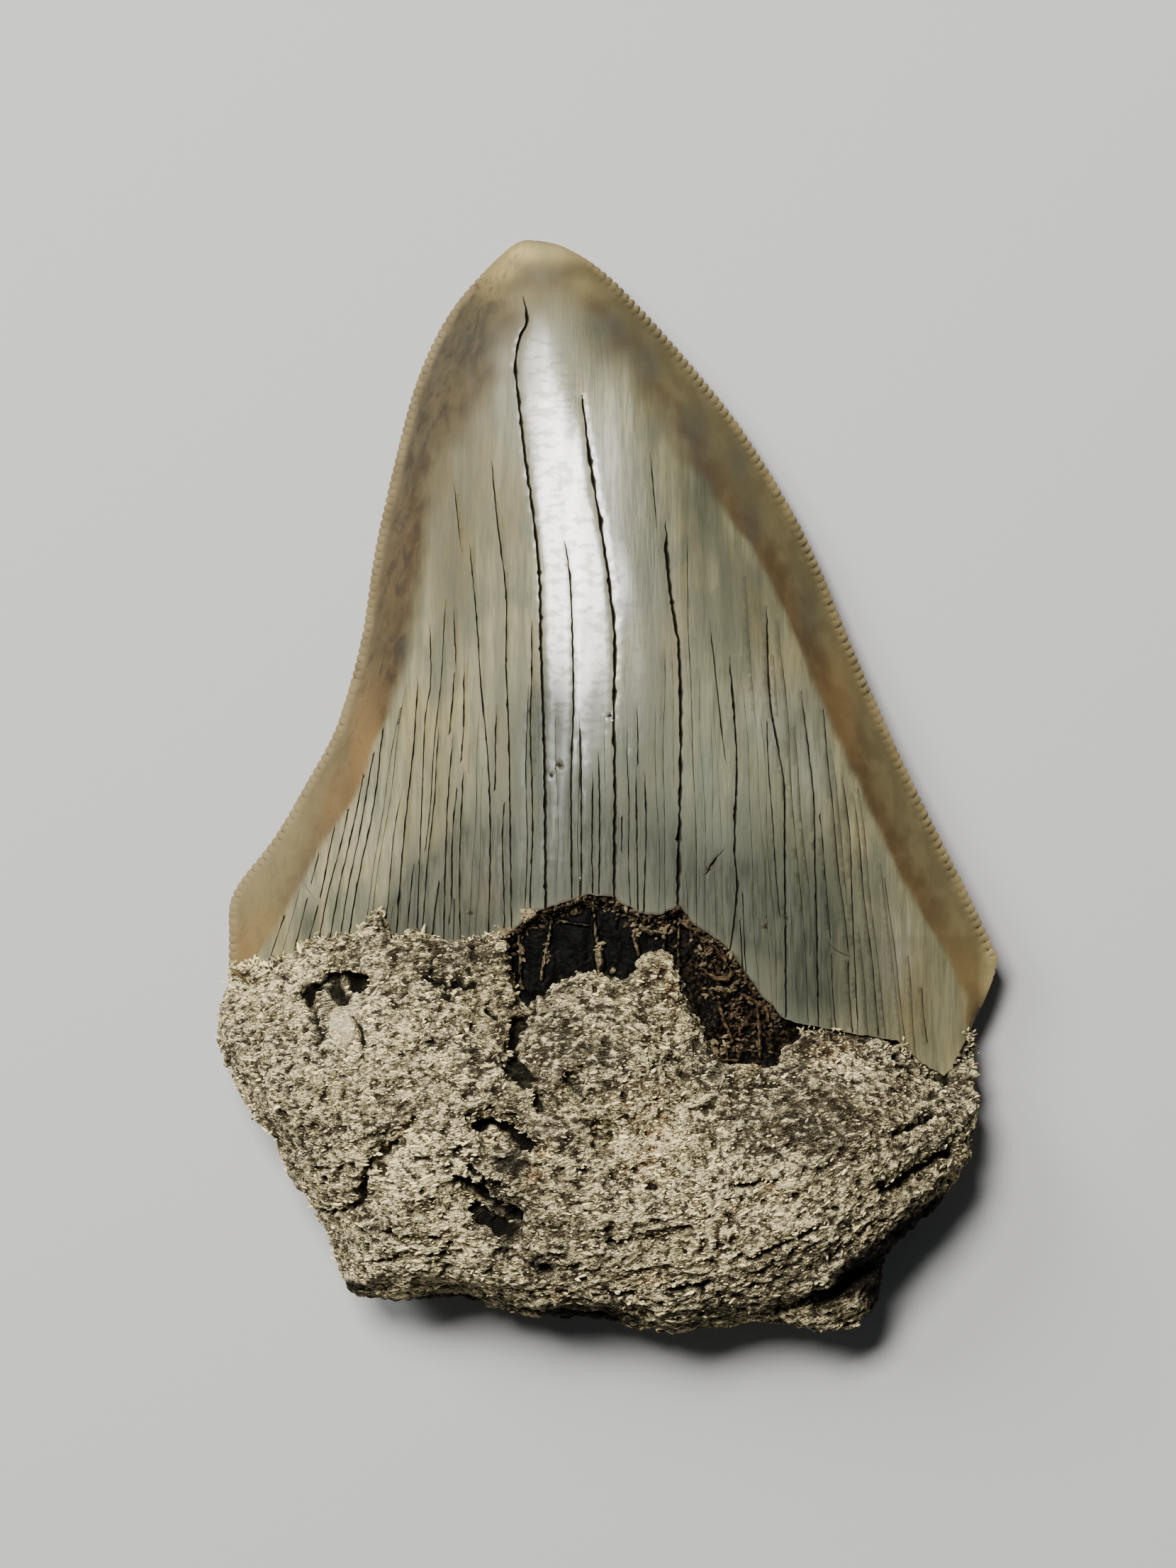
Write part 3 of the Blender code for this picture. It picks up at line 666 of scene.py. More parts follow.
class Finish:
    """A Principled material and the one way that its nodes are made."""

    def __init__(self, name, fixed):
        self.material = bpy.data.materials.new(name)
        self.material.use_nodes = True
        self.tree = self.material.node_tree
        self.shader = self.tree.nodes["Principled BSDF"]
        for socket, value in fixed.items():
            self.shader.inputs[socket].default_value = value

    def node(self, kind, settings=None, inputs=None, output=0):
        """Add a node: its settings first, then its sockets' values or links. Gives one output."""
        made = self.tree.nodes.new(kind)
        for name, value in (settings or {}).items():
            setattr(made, name, value)
        for socket, value in (inputs or {}).items():
            self.plug(made.inputs[socket], value)
        return Wire(self, made.outputs[output])

    def plug(self, socket, value):
        """Link a wire to a socket, or set the socket's value."""
        if isinstance(value, Wire):
            self.tree.links.new(value.socket, socket)
        elif socket.type == "RGBA":
            socket.default_value = (*value, 1.0)
        else:
            socket.default_value = value

    def feed(self, name, value):
        """Link a wire to one of the shader's own sockets."""
        self.plug(self.shader.inputs[name], value)

    def place(self, size, stretch, offset=(0.0, 0.0, 0.0), turn=0.0):
        """Object coordinates for a pattern with features of a size, stretched along turned axes."""
        coords = self.node("ShaderNodeTexCoord", output="Object")
        scale = tuple(1.0 / (size * MM * share) for share in stretch)
        return self.node("ShaderNodeMapping", {}, {
            "Vector": coords, "Scale": scale, "Location": offset, "Rotation": (0.0, 0.0, math.radians(turn))})

    def noise(self, size, detail=3.0, stretch=(1.0, 1.0, 1.0), offset=(0.0, 0.0, 0.0), turn=0.0, rough=0.5):
        """Soft noise with features about so many millimetres across, stretched along chosen axes."""
        place = self.place(size, stretch, offset, turn)
        return self.node("ShaderNodeTexNoise", {}, {
            "Vector": place, "Scale": 1.0, "Detail": detail, "Roughness": rough}, output="Fac")

    def grains(self, size, stretch, turn):
        """Angular grains of about so many millimetres: distance from their joints, and a tone for each."""
        straight = self.place(size, stretch, turn=turn)
        swirl = self.node("ShaderNodeTexNoise", {}, {
            "Vector": straight, "Scale": 1.3, "Detail": 2.0}, output="Color")
        bent = self.node("ShaderNodeVectorMath", {"operation": "MULTIPLY_ADD"}, {
            0: swirl, 1: (1.6, 1.6, 1.6), 2: straight})
        cells = {"Vector": bent, "Scale": 1.0}
        joint = self.node("ShaderNodeTexVoronoi", {"feature": "DISTANCE_TO_EDGE"}, cells, output="Distance")
        tone = self.node("ShaderNodeTexVoronoi", {"feature": "F1"}, cells, output="Color")
        return joint, self.node("ShaderNodeSeparateColor", {}, {0: tone})

    def fibres(self, size, stretch, turn):
        """Noise drawn out along lines turned from the X axis."""
        coords = self.node("ShaderNodeTexCoord", output="Object")
        straight = self.node("ShaderNodeMapping", {"vector_type": "TEXTURE"}, {
            "Vector": coords, "Scale": (size * stretch * MM, size * MM, size * MM),
            "Rotation": (0.0, 0.0, math.radians(turn))})
        return self.node("ShaderNodeTexNoise", {}, {
            "Vector": straight, "Scale": 1.0, "Detail": 4.0, "Distortion": 0.6}, output="Fac")

    def ease(self, value, low, high):
        """0 below low and 1 above high, eased between."""
        return self.node("ShaderNodeMapRange", {"interpolation_type": "SMOOTHSTEP"}, {
            "Value": value, "From Min": low, "From Max": high})

    def mix(self, factor, first, second, blend="MIX"):
        """Blend two colours."""
        return self.node("ShaderNodeMix", {"data_type": "RGBA", "blend_type": blend}, {
            0: factor, 6: first, 7: second}, output=2)

    def stored(self, name):
        """A number stored on the piece's vertices."""
        return self.node("ShaderNodeAttribute", {"attribute_name": name}, output="Fac")

    def bump(self, height, distance, normal=None):
        """A bump, of so many millimetres, on top of another one if given."""
        inputs = {"Height": height, "Distance": distance * MM}
        if normal:
            inputs["Normal"] = normal
        return self.node("ShaderNodeBump", {}, inputs)

    def wear(self, piece):
        """Put the material on a piece."""
        piece.data.materials.clear()
        piece.data.materials.append(self.material)


def enamel():
    """Fossil enamel, polished on the crest: grey-cream and streaked in its field, brown at its margins, with
    painted shade in its cracks and on the left margin, and painted highlight in some pale patches.
    """
    finish = Finish("fossil_enamel", {
        "IOR": 1.5, "Specular IOR Level": 0.22, "Coat IOR": 1.62, "Coat Roughness": 0.17})
    mix, ease, stored = finish.mix, finish.ease, finish.stored
    streak = finish.noise(0.9, 4.0, (1.0, 16.0, 4.0))
    fine_streak = finish.noise(0.25, 3.0, (1.0, 12.0, 4.0))
    patch = finish.noise(2.6, 4.0, (1.0, 4.5, 1.0), (3.0, 1.0, 0.0))
    cloud = finish.noise(6.0, 4.0, (1.0, 1.8, 1.0), (11.0, 5.0, 0.0))
    blotch = finish.noise(1.7, 4.0, (1.0, 1.4, 1.0), (2.0, 7.0, 0.0))
    tip, cool, left, crack = stored("tip"), stored("cool"), stored("left"), stored("crack")

    # The cracked field, from its cream ground to its grey stains.
    field = mix(ease(streak, 0.35, 0.68) * (1.0 - tip * 0.8), (0.116, 0.110, 0.060), (0.194, 0.180, 0.101))
    yellow = ease(patch, 0.50, 0.66) * (1.0 - tip) * (0.60 - cool * 0.30)
    field = mix(yellow, field, (0.222, 0.180, 0.084))
    field = mix(cool * (0.55 + ease(patch, 0.55, 0.40) * 0.35), field, (0.106, 0.113, 0.079))
    field = mix(ease(cloud, 0.48, 0.64) * 0.6, field, (0.074, 0.079, 0.052))
    khaki = stored("khaki") * (0.65 + ease(patch, 0.40, 0.60) * 0.35)
    field = mix(khaki, field, (0.108, 0.088, 0.039))
    # Pale patches: partly the enamel's own tone, and partly painted highlight that widens the glare beside
    # the second crack and adds sheen on the right of the field.
    light = stored("light") * (0.7 + ease(streak, 0.4, 0.6) * 0.3)
    field = mix(light, field, (0.315, 0.305, 0.235))
    # Grey stains: mostly the enamel's own, but the dark ones beside the crumbs at the lower left are painted
    # shadow, and those along the lower border are partly painted shadow.
    grey = stored("grey") * (0.72 + ease(fine_streak, 0.35, 0.65) * 0.28)
    field = mix(grey, field, mix(stored("khaki"), (0.030, 0.033, 0.022), (0.040, 0.034, 0.015)))
    field = mix(ease(fine_streak, 0.56, 0.36) * (1.0 - tip * 0.7) * 0.30, field, (0.042, 0.045, 0.034))

    # The smooth brown margin, with its stains and its paler serrations.
    brown = mix(ease(blotch, 0.38, 0.66), (0.052, 0.033, 0.013), (0.073, 0.047, 0.018))
    olive = mix(ease(blotch, 0.40, 0.62), (0.070, 0.056, 0.025), (0.088, 0.071, 0.032))
    band = mix(ease(stored("into") + (blotch - 0.5) * 2.0, 0.8, 3.2), brown, olive)
    band = mix(stored("gold") * 0.9, band, (0.152, 0.119, 0.050))
    band = mix(stored("warm") * 0.85, band, (0.163, 0.096, 0.030))
    band = mix(stored("tan") * 0.9, band, (0.450, 0.350, 0.150))
    band = mix(stored("slate") * (0.5 + ease(blotch, 0.35, 0.6) * 0.5), band, (0.029, 0.032, 0.027))
    # Painted shade: the margin on the left, which faces the key light, is darkened.
    band = mix(left * 0.58, band, (0.25, 0.21, 0.15), "MULTIPLY")
    wood = finish.fibres(0.85, 2.4, 72.0)
    band = mix(left * ease(wood, 0.46, 0.70) * 0.65, band, (0.064, 0.044, 0.021))
    band = mix(left * ease(wood, 0.50, 0.34) * 0.65, band, (0.020, 0.013, 0.007))
    tips = ease(stored("rim"), 1.25, 0.35) * (0.38 + ease(blotch, 0.35, 0.6) * 0.3)
    band = mix(tips, band, (0.182, 0.138, 0.060))

    colour = mix(stored("margin"), field, band)
    # Painted shade: the stored crack darkness blackens the cracks and the serration notches, and also darkens
    # the pits and the enamel's broken edge over the bare band.
    colour = mix(ease(crack, 0.11, 0.50) * 0.85, colour, (0.040, 0.031, 0.017))
    colour = mix(ease(crack, 0.35, 0.90), colour, (0.009, 0.007, 0.004))
    finish.feed("Base Color", colour)
    worn = 0.60 + stored("tan") * 0.30 - stored("polish") * 0.20
    finish.feed("Roughness", worn + (streak - 0.5) * 0.12 + ease(crack, 0.2, 0.8) * 0.25)
    wrinkle = stored("wrinkle") * ease(finish.noise(0.5, 3.0, (3.0, 0.8, 1.0)), 0.48, 0.60)
    mottle = ease(finish.noise(0.7, 4.0, (1.8, 1.0, 1.0), (5.0, 2.0, 0.0)), 0.48, 0.62)
    coat = stored("polish") * (0.88 + (streak - 0.5) * 0.6) * (1.0 - wrinkle * 0.8) * (1.0 - mottle * 0.45)
    finish.feed("Coat Weight", coat)
    grain = finish.bump(fine_streak * (1.0 - stored("margin") * 0.9), 0.04)
    finish.feed("Normal", finish.bump(finish.noise(0.6, 4.0), 0.02, grain))
    return finish


def spot(xs, ys, x, y, half_x, half_y):
    """1 in the middle of a soft oval spot, 0 outside it."""
    return np.exp(-((xs - x) / half_x) ** 2 - ((ys - y) / half_y) ** 2)


def patches(xs, ys, spots):
    """Soft spots added up, at most 1."""
    total = np.zeros(len(xs))
    for x, y, half_x, half_y, strength in spots:
        total += strength * spot(xs, ys, x, y, half_x, half_y)
    return np.clip(total, 0.0, 1.0)


# Where the polish wears off: down the crown, past the longest crack, on the right and at the tip.
DULL_BELOW = (-3.0, 15.0)
DULL_PAST_CRACK = (0.0, 0.7)
DULL_SPOT = (-4.6, 6.0, 1.6, 7.0)
DULL_RIGHT = (1.0, 4.0)
DULL_RIGHT_BELOW = (24.0, 10.0)
DULL_STREAK = (-4.3, 38.8, 1.0, 3.4)
DULL_TIP = (42.5, 45.0)
WRINKLES = (-2.4, 37.5, 2.6, 4.0)
# Where the field turns a cooler grey, and where the margin on the left, which faces the key light, is darkest
# with painted shade.
COOL_BELOW = (16.0, 2.0)
COOL_LEFT = (-15.0, -5.0)
COOL_RIGHT = (24.0, 16.0)
DARK_MARGIN_LEFT = (-4.0, -14.0)
DARK_MARGIN_ABOVE = (0.0, 13.0)
TIP_COLOURS = (34.0, 42.0)
SOFT_MARGIN_ABOVE = (22.0, 40.0)
# Where the broken edge of the enamel overhangs the bare band.
OVER_BAND_LEFT = (-9.6, -8.8)
OVER_BAND_RIGHT = (16.0, 15.0)
# Stains by colour, with painted highlight among the light ones and painted shadow among the grey ones: place,
# half sizes and strength.
STAINS_AND_PAINTED_LIGHT = {
    # Painted shadow among these: the dark spots beside the crumbs at the lower left, and, partly, those along
    # the enamel's lower border by the bare band.
    "grey": [
        (18.8, -10.5, 2.6, 5.0, 0.9), (16.5, -14.5, 6.0, 3.5, 0.9), (-7.5, 5.5, 3.0, 5.0, 0.60),
        (-1.8, 7.0, 1.6, 3.0, 0.5), (4.0, 1.0, 3.0, 8.0, 0.5), (-17.8, -9.5, 2.2, 2.8, 0.75),
        (-2.0, -4.5, 4.0, 4.5, 0.6), (5.5, -7.0, 4.5, 4.0, 0.5), (9.5, -9.5, 3.0, 4.5, 0.8),
        (-9.4, -6.6, 3.0, 5.6, 0.8), (24.0, -14.0, 2.5, 5.5, 0.40), (8.0, 22.0, 3.5, 6.0, 0.30),
        (9.5, 14.0, 3.5, 7.0, 0.20), (4.4, 9.0, 2.2, 8.0, 0.25), (13.6, -6.0, 2.6, 5.0, 0.35),
        (-14.2, 18.0, 2.0, 8.0, 0.35), (13.8, 18.0, 2.0, 6.5, 0.40), (18.5, -19.5, 4.5, 2.8, 0.9),
        (24.5, -18.5, 2.0, 4.0, 0.15), (-14.0, -1.0, 2.0, 4.0, 0.35), (-9.0, 26.0, 1.5, 8.0, 0.25),
        (8.8, 28.0, 2.4, 5.0, 0.7), (14.5, 14.0, 2.2, 6.0, 0.15), (16.2, -5.0, 2.6, 4.0, 0.4),
        (-2.0, -8.0, 3.5, 2.5, 0.4), (-13.0, 32.0, 3.5, 7.0, 0.30), (-2.5, -5.0, 3.0, 3.5, 0.45),
        (-27.7, -13.0, 1.0, 2.4, 1.0), (-18.8, -12.6, 2.3, 2.0, 1.0), (-6.0, -10.0, 3.0, 1.6, 0.4),
        (6.0, -10.8, 3.0, 2.0, 0.4), (-13.6, -11.3, 4.4, 5.2, 1.0), (-13.2, -7.4, 3.4, 3.8, 1.0),
        (-9.6, 0.0, 2.0, 4.0, 0.25), (-4.8, 4.0, 1.8, 9.0, 0.45), (4.0, 15.0, 2.0, 7.0, 0.35),
        (-0.2, 39.8, 1.6, 2.0, 0.5), (-1.4, 42.4, 2.2, 1.8, 0.55), (-13.4, -12.4, 4.0, 2.4, 0.3),
        (-18.6, -12.4, 2.6, 1.6, 0.5), (-0.6, -9.6, 3.4, 1.4, 0.5), (-14.4, 24.0, 1.6, 5.0, 0.25),
        (4.6, 33.5, 2.0, 4.0, 0.3), (12.0, -12.4, 3.5, 2.0, 0.4), (4.5, -6.0, 3.0, 3.0, 0.25),
        (-4.6, 1.5, 2.2, 8.0, 0.75), (-0.4, -2.5, 2.4, 5.0, 0.4), (13.2, -10.0, 2.6, 3.6, 0.7),
    ],
    "slate": [
        (-0.5, 42.2, 2.8, 1.9, 0.9), (2.8, 38.8, 2.2, 2.2, 0.9), (-12.4, 40.6, 2.6, 2.4, 0.8),
        (7.8, 33.0, 1.6, 2.4, 0.8), (-5.4, 47.7, 2.2, 1.0, 0.35), (-19.0, 12.6, 0.8, 1.2, 1.0),
        (-24.2, -4.8, 1.3, 1.6, 0.55), (-17.5, 33.0, 1.8, 6.0, 0.25), (-19.0, 18.0, 1.0, 6.0, 0.4),
        (12.0, 30.0, 1.2, 2.5, 0.5), (18.5, 16.0, 1.2, 3.5, 0.4), (8.6, 27.3, 1.6, 3.6, 0.75),
        (13.2, 24.2, 1.2, 3.2, 0.55),
    ],
    "tan": [
        (-7.7, 49.7, 4.3, 1.2, 1.0), (-9.8, 47.8, 1.5, 0.9, 0.6), (-11.5, 46.8, 1.8, 1.4, 0.3),
    ],
    "gold": [
        (-8.0, 45.2, 2.4, 1.2, 0.8), (-2.4, 46.4, 1.3, 1.2, 0.6), (-10.8, 46.0, 1.2, 1.0, 0.6),
        (-33.0, -9.0, 3.0, 8.0, 0.9), (-29.5, -3.0, 2.4, 5.0, 0.7), (-23.4, 8.0, 1.8, 6.0, 0.5),
        (-31.0, -15.0, 3.0, 2.5, 0.8), (31.5, -17.5, 3.2, 4.5, 0.6), (31.0, -22.5, 2.0, 3.0, 0.7),
    ],
    "warm": [
        (-22.5, 4.0, 1.7, 6.5, 0.9), (-25.5, -2.0, 1.6, 3.5, 0.6), (32.8, -17.5, 1.8, 3.0, 0.3),
        (-19.3, 19.0, 1.3, 5.0, 0.5), (21.5, 8.0, 1.5, 6.0, 0.4), (-31.8, -12.6, 1.6, 2.0, 0.4),
        (-33.8, -15.2, 1.5, 2.2, 0.8),
    ],
    # Painted highlight among these: the patches beside the second crack widen the glare, and those on the
    # right of the field add sheen.
    "light": [
        (0.3, 30.8, 1.7, 5.6, 0.9), (26.5, -16.0, 2.2, 3.0, 0.35), (-9.4, 36.0, 1.4, 8.0, 0.35),
        (14.4, 6.5, 2.0, 3.0, 0.35), (18.4, 1.5, 2.0, 3.5, 0.3), (-4.8, 36.0, 1.0, 5.0, 0.3),
        (-22.5, -4.5, 2.5, 3.5, 0.2), (30.4, -20.6, 2.0, 2.6, 0.06), (24.0, -17.0, 1.8, 4.0, 0.14),
    ],
    "khaki": [
        (-13.5, 33.0, 3.0, 8.0, 0.7), (-10.0, 40.0, 2.5, 5.0, 0.4), (-9.5, 24.0, 3.0, 6.0, 0.4),
        (-14.8, 21.0, 1.8, 7.0, 0.7), (-8.0, 44.0, 4.0, 2.0, 0.7), (2.6, 25.0, 2.0, 7.0, 0.3),
        (-12.5, -9.0, 3.0, 4.0, 0.5), (29.0, -19.0, 4.0, 5.0, 0.75), (-17.5, 2.0, 3.0, 8.0, 0.3),
    ],
}


def paint_crown(crown, places, dark):
    """Store where the margin, the stained and painted-light patches and the cracks lie."""
    xs, ys = places[:, 0], places[:, 1]
    wobble = noise_over(xs, ys, 2.2, 2.6, 5.0)
    near_tip = smoothstep(*SOFT_MARGIN_ABOVE, ys)
    on_left = smoothstep(-2.0, -6.0, xs) * smoothstep(2.0, 18.0, ys)
    softness = 0.35 + 2.6 * near_tip + 0.9 * on_left
    into = in_margin(xs, ys) + wobble * (0.35 + 1.6 * near_tip)
    margin = smoothstep(-softness, softness, into)
    polish = (1.0 - 0.88 * margin) * (1.0 - smoothstep(0.02, 0.22, dark))
    polish *= 0.15 + 0.85 * smoothstep(*DULL_BELOW, ys)
    polish *= 1.0 - 0.7 * smoothstep(*DULL_RIGHT, xs) * smoothstep(*DULL_RIGHT_BELOW, ys)
    polish *= 1.0 - 0.8 * smoothstep(*DULL_PAST_CRACK, by_level(MAIN_CRACKS[0][1], ys) - xs)
    polish *= 1.0 - 0.85 * spot(xs, ys, *DULL_SPOT)
    above = ys - border_y(ENAMEL_END, xs)
    polish *= smoothstep(0.1, 0.8, above) * (1.0 - 0.8 * smoothstep(*DULL_TIP, ys))
    over_band = smoothstep(*OVER_BAND_LEFT, xs) * smoothstep(*OVER_BAND_RIGHT, xs)
    dark = np.maximum(dark, 0.55 * over_band * smoothstep(0.42, 0.05, above + 0.25 * wobble))
    half_width = (by_level(RIGHT_PATH, ys) - by_level(LEFT_PATH, ys)) / 2.0
    cool = smoothstep(*COOL_BELOW, ys) * smoothstep(*COOL_LEFT, xs) * smoothstep(*COOL_RIGHT, xs)
    # Painted shade on the left margin, which faces the key light.
    left = smoothstep(*DARK_MARGIN_LEFT, xs) * (0.30 + 0.70 * smoothstep(*DARK_MARGIN_ABOVE, ys))
    stored = {
        "margin": margin,
        "polish": polish * (1.0 - 0.6 * spot(xs, ys, *DULL_STREAK)),
        "cool": cool,
        "wrinkle": spot(xs, ys, *WRINKLES),
        "tip": smoothstep(*TIP_COLOURS, ys),
        "into": np.clip(into, 0.0, 6.0),
        "crack": dark,
        "rim": (1.0 - np.abs(across(xs, ys))) * half_width,
        "left": left,
    }
    for name, values in stored.items():
        give_attribute(crown, name, values)
    for name, colour_patches in STAINS_AND_PAINTED_LIGHT.items():
        give_attribute(crown, name, patches(xs, ys, colour_patches))


crown_verts, crown_faces, crown_dark = build_crown()
crown = new_piece("crown", crown_verts, crown_faces)
paint_crown(crown, crown_verts, crown_dark)
shade(crown, 50.0)
enamel().wear(crown)
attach(crown, "root")
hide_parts("tooth")

# ---------------------------------------------------------------------------------------------------
# The bare band between crown and root: black, glassy dentine where the enamel has flaked off, its near-black
# colour also painted shade for the sunk band. It has dried into blocks, and tan crust stands in their joints
# and under the broken edge of the enamel.
# ---------------------------------------------------------------------------------------------------
BAND_LOW = (-11.0, -27.0)
BAND_HIGH = (20.5, -9.0)
BAND_STEP = 0.13
BAND_SINK = 1.55
BAND_DEPTH = 0.9
BLOCK_RELIEF = 0.22
SHARD_RELIEF = 0.04
BELOW_BLOCKS = 0.25
RIM_CRUST_REACH = 0.9
RIM_CRUST = 0.55
RIM_CRUST_SPREAD = 0.35
RIM_TAN = 0.45
RUBBLE_HEIGHT = 0.6
RUBBLE_TAN = 0.68
CRUMB_HEIGHT = 1.1
# Crust walls: how tan, half width, height, and the way. Then rubble, by place, half sizes and strength,
# and crumbs, by place and size.
CRUST_WALLS = [
    (0.8, 0.17, 0.75, [(-8.2, -12.5), (-8.1, -15.0), (-8.1, -17.0), (-7.9, -18.7)]),
    (0.8, 0.14, 0.60, [(-5.2, -12.3), (-5.4, -13.9), (-6.0, -16.6), (-6.1, -17.8)]),
    (0.5, 0.12, 0.40, [(-5.2, -12.3), (-3.4, -12.7), (-1.8, -12.9)]),
    (0.9, 0.16, 0.80, [(-1.4, -10.9), (-1.2, -13.3), (-1.0, -14.6), (-0.85, -17.4)]),
    (1.0, 0.42, 0.95, [(-0.9, -14.9), (-0.8, -16.7)]),
    (0.8, 0.18, 0.80, [(2.6, -12.3), (2.3, -13.7), (2.75, -15.6)]),
    (0.9, 0.30, 0.70, [(2.9, -13.0), (4.0, -13.6)]),
    (0.6, 0.13, 0.60, [(6.4, -12.2), (6.4, -13.6), (6.35, -15.8)]),
    (1.0, 0.20, 0.90, [(6.4, -12.3), (8.1, -13.7), (9.7, -14.8), (10.6, -16.0), (11.3, -17.2)]),
    (1.0, 0.30, 0.75, [(11.3, -17.2), (10.9, -17.9), (10.0, -17.8)]),
    (0.8, 0.20, 0.60, [(10.0, -17.8), (9.0, -17.3), (8.2, -16.5)]),
    (0.7, 0.16, 0.70, [(13.6, -20.3), (13.8, -22.5), (13.85, -25.0)]),
    (1.0, 0.26, 0.80, [(12.3, -19.3), (13.4, -19.9), (14.5, -20.7), (14.7, -21.7)]),
    (0.6, 0.24, 0.60, [(10.1, -20.3), (10.6, -21.7), (11.3, -23.4)]),
    (0.7, 0.20, 0.60, [(8.6, -24.3), (9.9, -25.1), (11.8, -25.2)]),
]
RUBBLE = [
    (5.2, -16.4, 1.8, 1.4, 0.7), (9.0, -16.6, 1.8, 2.0, 0.7), (12.0, -22.0, 1.6, 2.6, 1.0),
    (10.2, -24.2, 1.6, 1.2, 0.9), (5.2, -13.6, 0.9, 1.1, 0.7), (15.6, -22.4, 1.0, 1.0, 0.6),
    (-8.6, -14.2, 0.7, 1.2, 0.8), (8.9, -14.9, 0.9, 0.8, 0.6), (9.6, -18.9, 1.3, 0.7, 0.7),
]
CRUMBS = [
    (-7.0, -12.5, 0.55), (-9.3, -13.5, 0.5), (-6.2, -11.9, 0.35), (-3.2, -11.7, 0.35), (2.2, -11.6, 0.35),
    (8.3, -19.5, 0.22), (9.9, -25.0, 0.3), (0.4, -17.0, 0.3),
]
# Heaps of loose grains: how many, place, spread and how pale.
HEAPS = [
    (110, -7.1, -11.9, 0.46, 0.40, 0.80), (16, -9.2, -13.7, 0.4, 0.5, 0.6),
    (24, 5.0, -13.4, 0.9, 0.8, 0.5), (22, 8.8, -15.4, 1.0, 1.0, 0.40), (20, 9.8, -18.8, 1.2, 0.6, 0.40),
    (36, 12.0, -22.2, 1.3, 2.0, 0.38), (34, 10.2, -24.3, 1.3, 0.8, 0.60),
    (24, 15.0, -21.6, 0.9, 1.0, 0.25), (12, 9.6, -16.4, 1.2, 1.0, 0.25), (14, 11.6, -19.4, 1.2, 1.2, 0.30),
    (12, 13.4, -24.0, 1.0, 1.4, 0.3), (18, -0.9, -15.6, 0.25, 0.9, 0.7), (14, -5.6, -15.6, 0.25, 1.2, 0.5),
    (14, -8.0, -15.4, 0.3, 1.3, 0.5), (12, 2.6, -13.6, 0.25, 0.8, 0.6),
]
HEAP_LIFT = (-0.15, 0.45)
HEAP_SPREAD = 0.6
RIM_GRAINS = 640
RIM_FROM_X = -9.0
RIM_TO_X = 15.5
RIM_SPREAD = 0.42
RIM_INSET = 0.12
RIM_LIFT = 1.25
RIM_FALL = 1.3
RIM_PALE = 0.62
BAND_GRAIN_SIZES = (0.09, 0.25)
BAND_GRAIN_TURNS = (-60.0, 60.0)
GRAIN_SQUASH = (0.72, 1.25)
GRAIN_SHORTEST = (1.0, 0.6, 0.5)
GRAIN_TURN_SPREAD = 20.0
GRAIN_TILT = 0.5


def nearest_on_way(xs, ys, way):
    """Distance from many places to a line of straight stretches."""
    best = np.full(len(xs), 1e9)
    for (ax, ay), (bx, by) in zip(way, way[1:]):
        run_x, run_y = bx - ax, by - ay
        t = np.clip(((xs - ax) * run_x + (ys - ay) * run_y) / (run_x ** 2 + run_y ** 2), 0.0, 1.0)
        best = np.minimum(best, np.hypot(xs - ax - t * run_x, ys - ay - t * run_y))
    return best


def turned(places, size, stretch, shift, turn):
    """Places in the space of a pattern with features of a size, stretched along turned axes."""
    cos, sin = math.cos(math.radians(turn)), math.sin(math.radians(turn))
    xs = (places[:, 0] * cos + places[:, 1] * sin) / (size * stretch[0])
    ys = (places[:, 1] * cos - places[:, 0] * sin) / (size * stretch[1])
    zs = places[:, 2] / (size * stretch[2]) + shift
    return np.column_stack((xs, ys, zs)).tolist()


def noise_at(places, size, stretch=(1.0, 1.0, 1.0), shift=0.0, turn=0.0):
    """Noise from -1 to 1 at many places, with features of a size, stretched along turned axes."""
    return np.array([noise.noise(place) for place in turned(places, size, stretch, shift, turn)])


def vectors_of(elements, name):
    """One vector from each of a mesh's vertices or faces, as the rows of an array."""
    values = np.empty(len(elements) * 3)
    elements.foreach_get(name, values)
    return values.reshape(-1, 3)


def move_vertices(piece, places):
    """Put a piece's vertices at new places, in millimetres."""
    piece.data.vertices.foreach_set("co", (places * MM).ravel())
    piece.data.update()


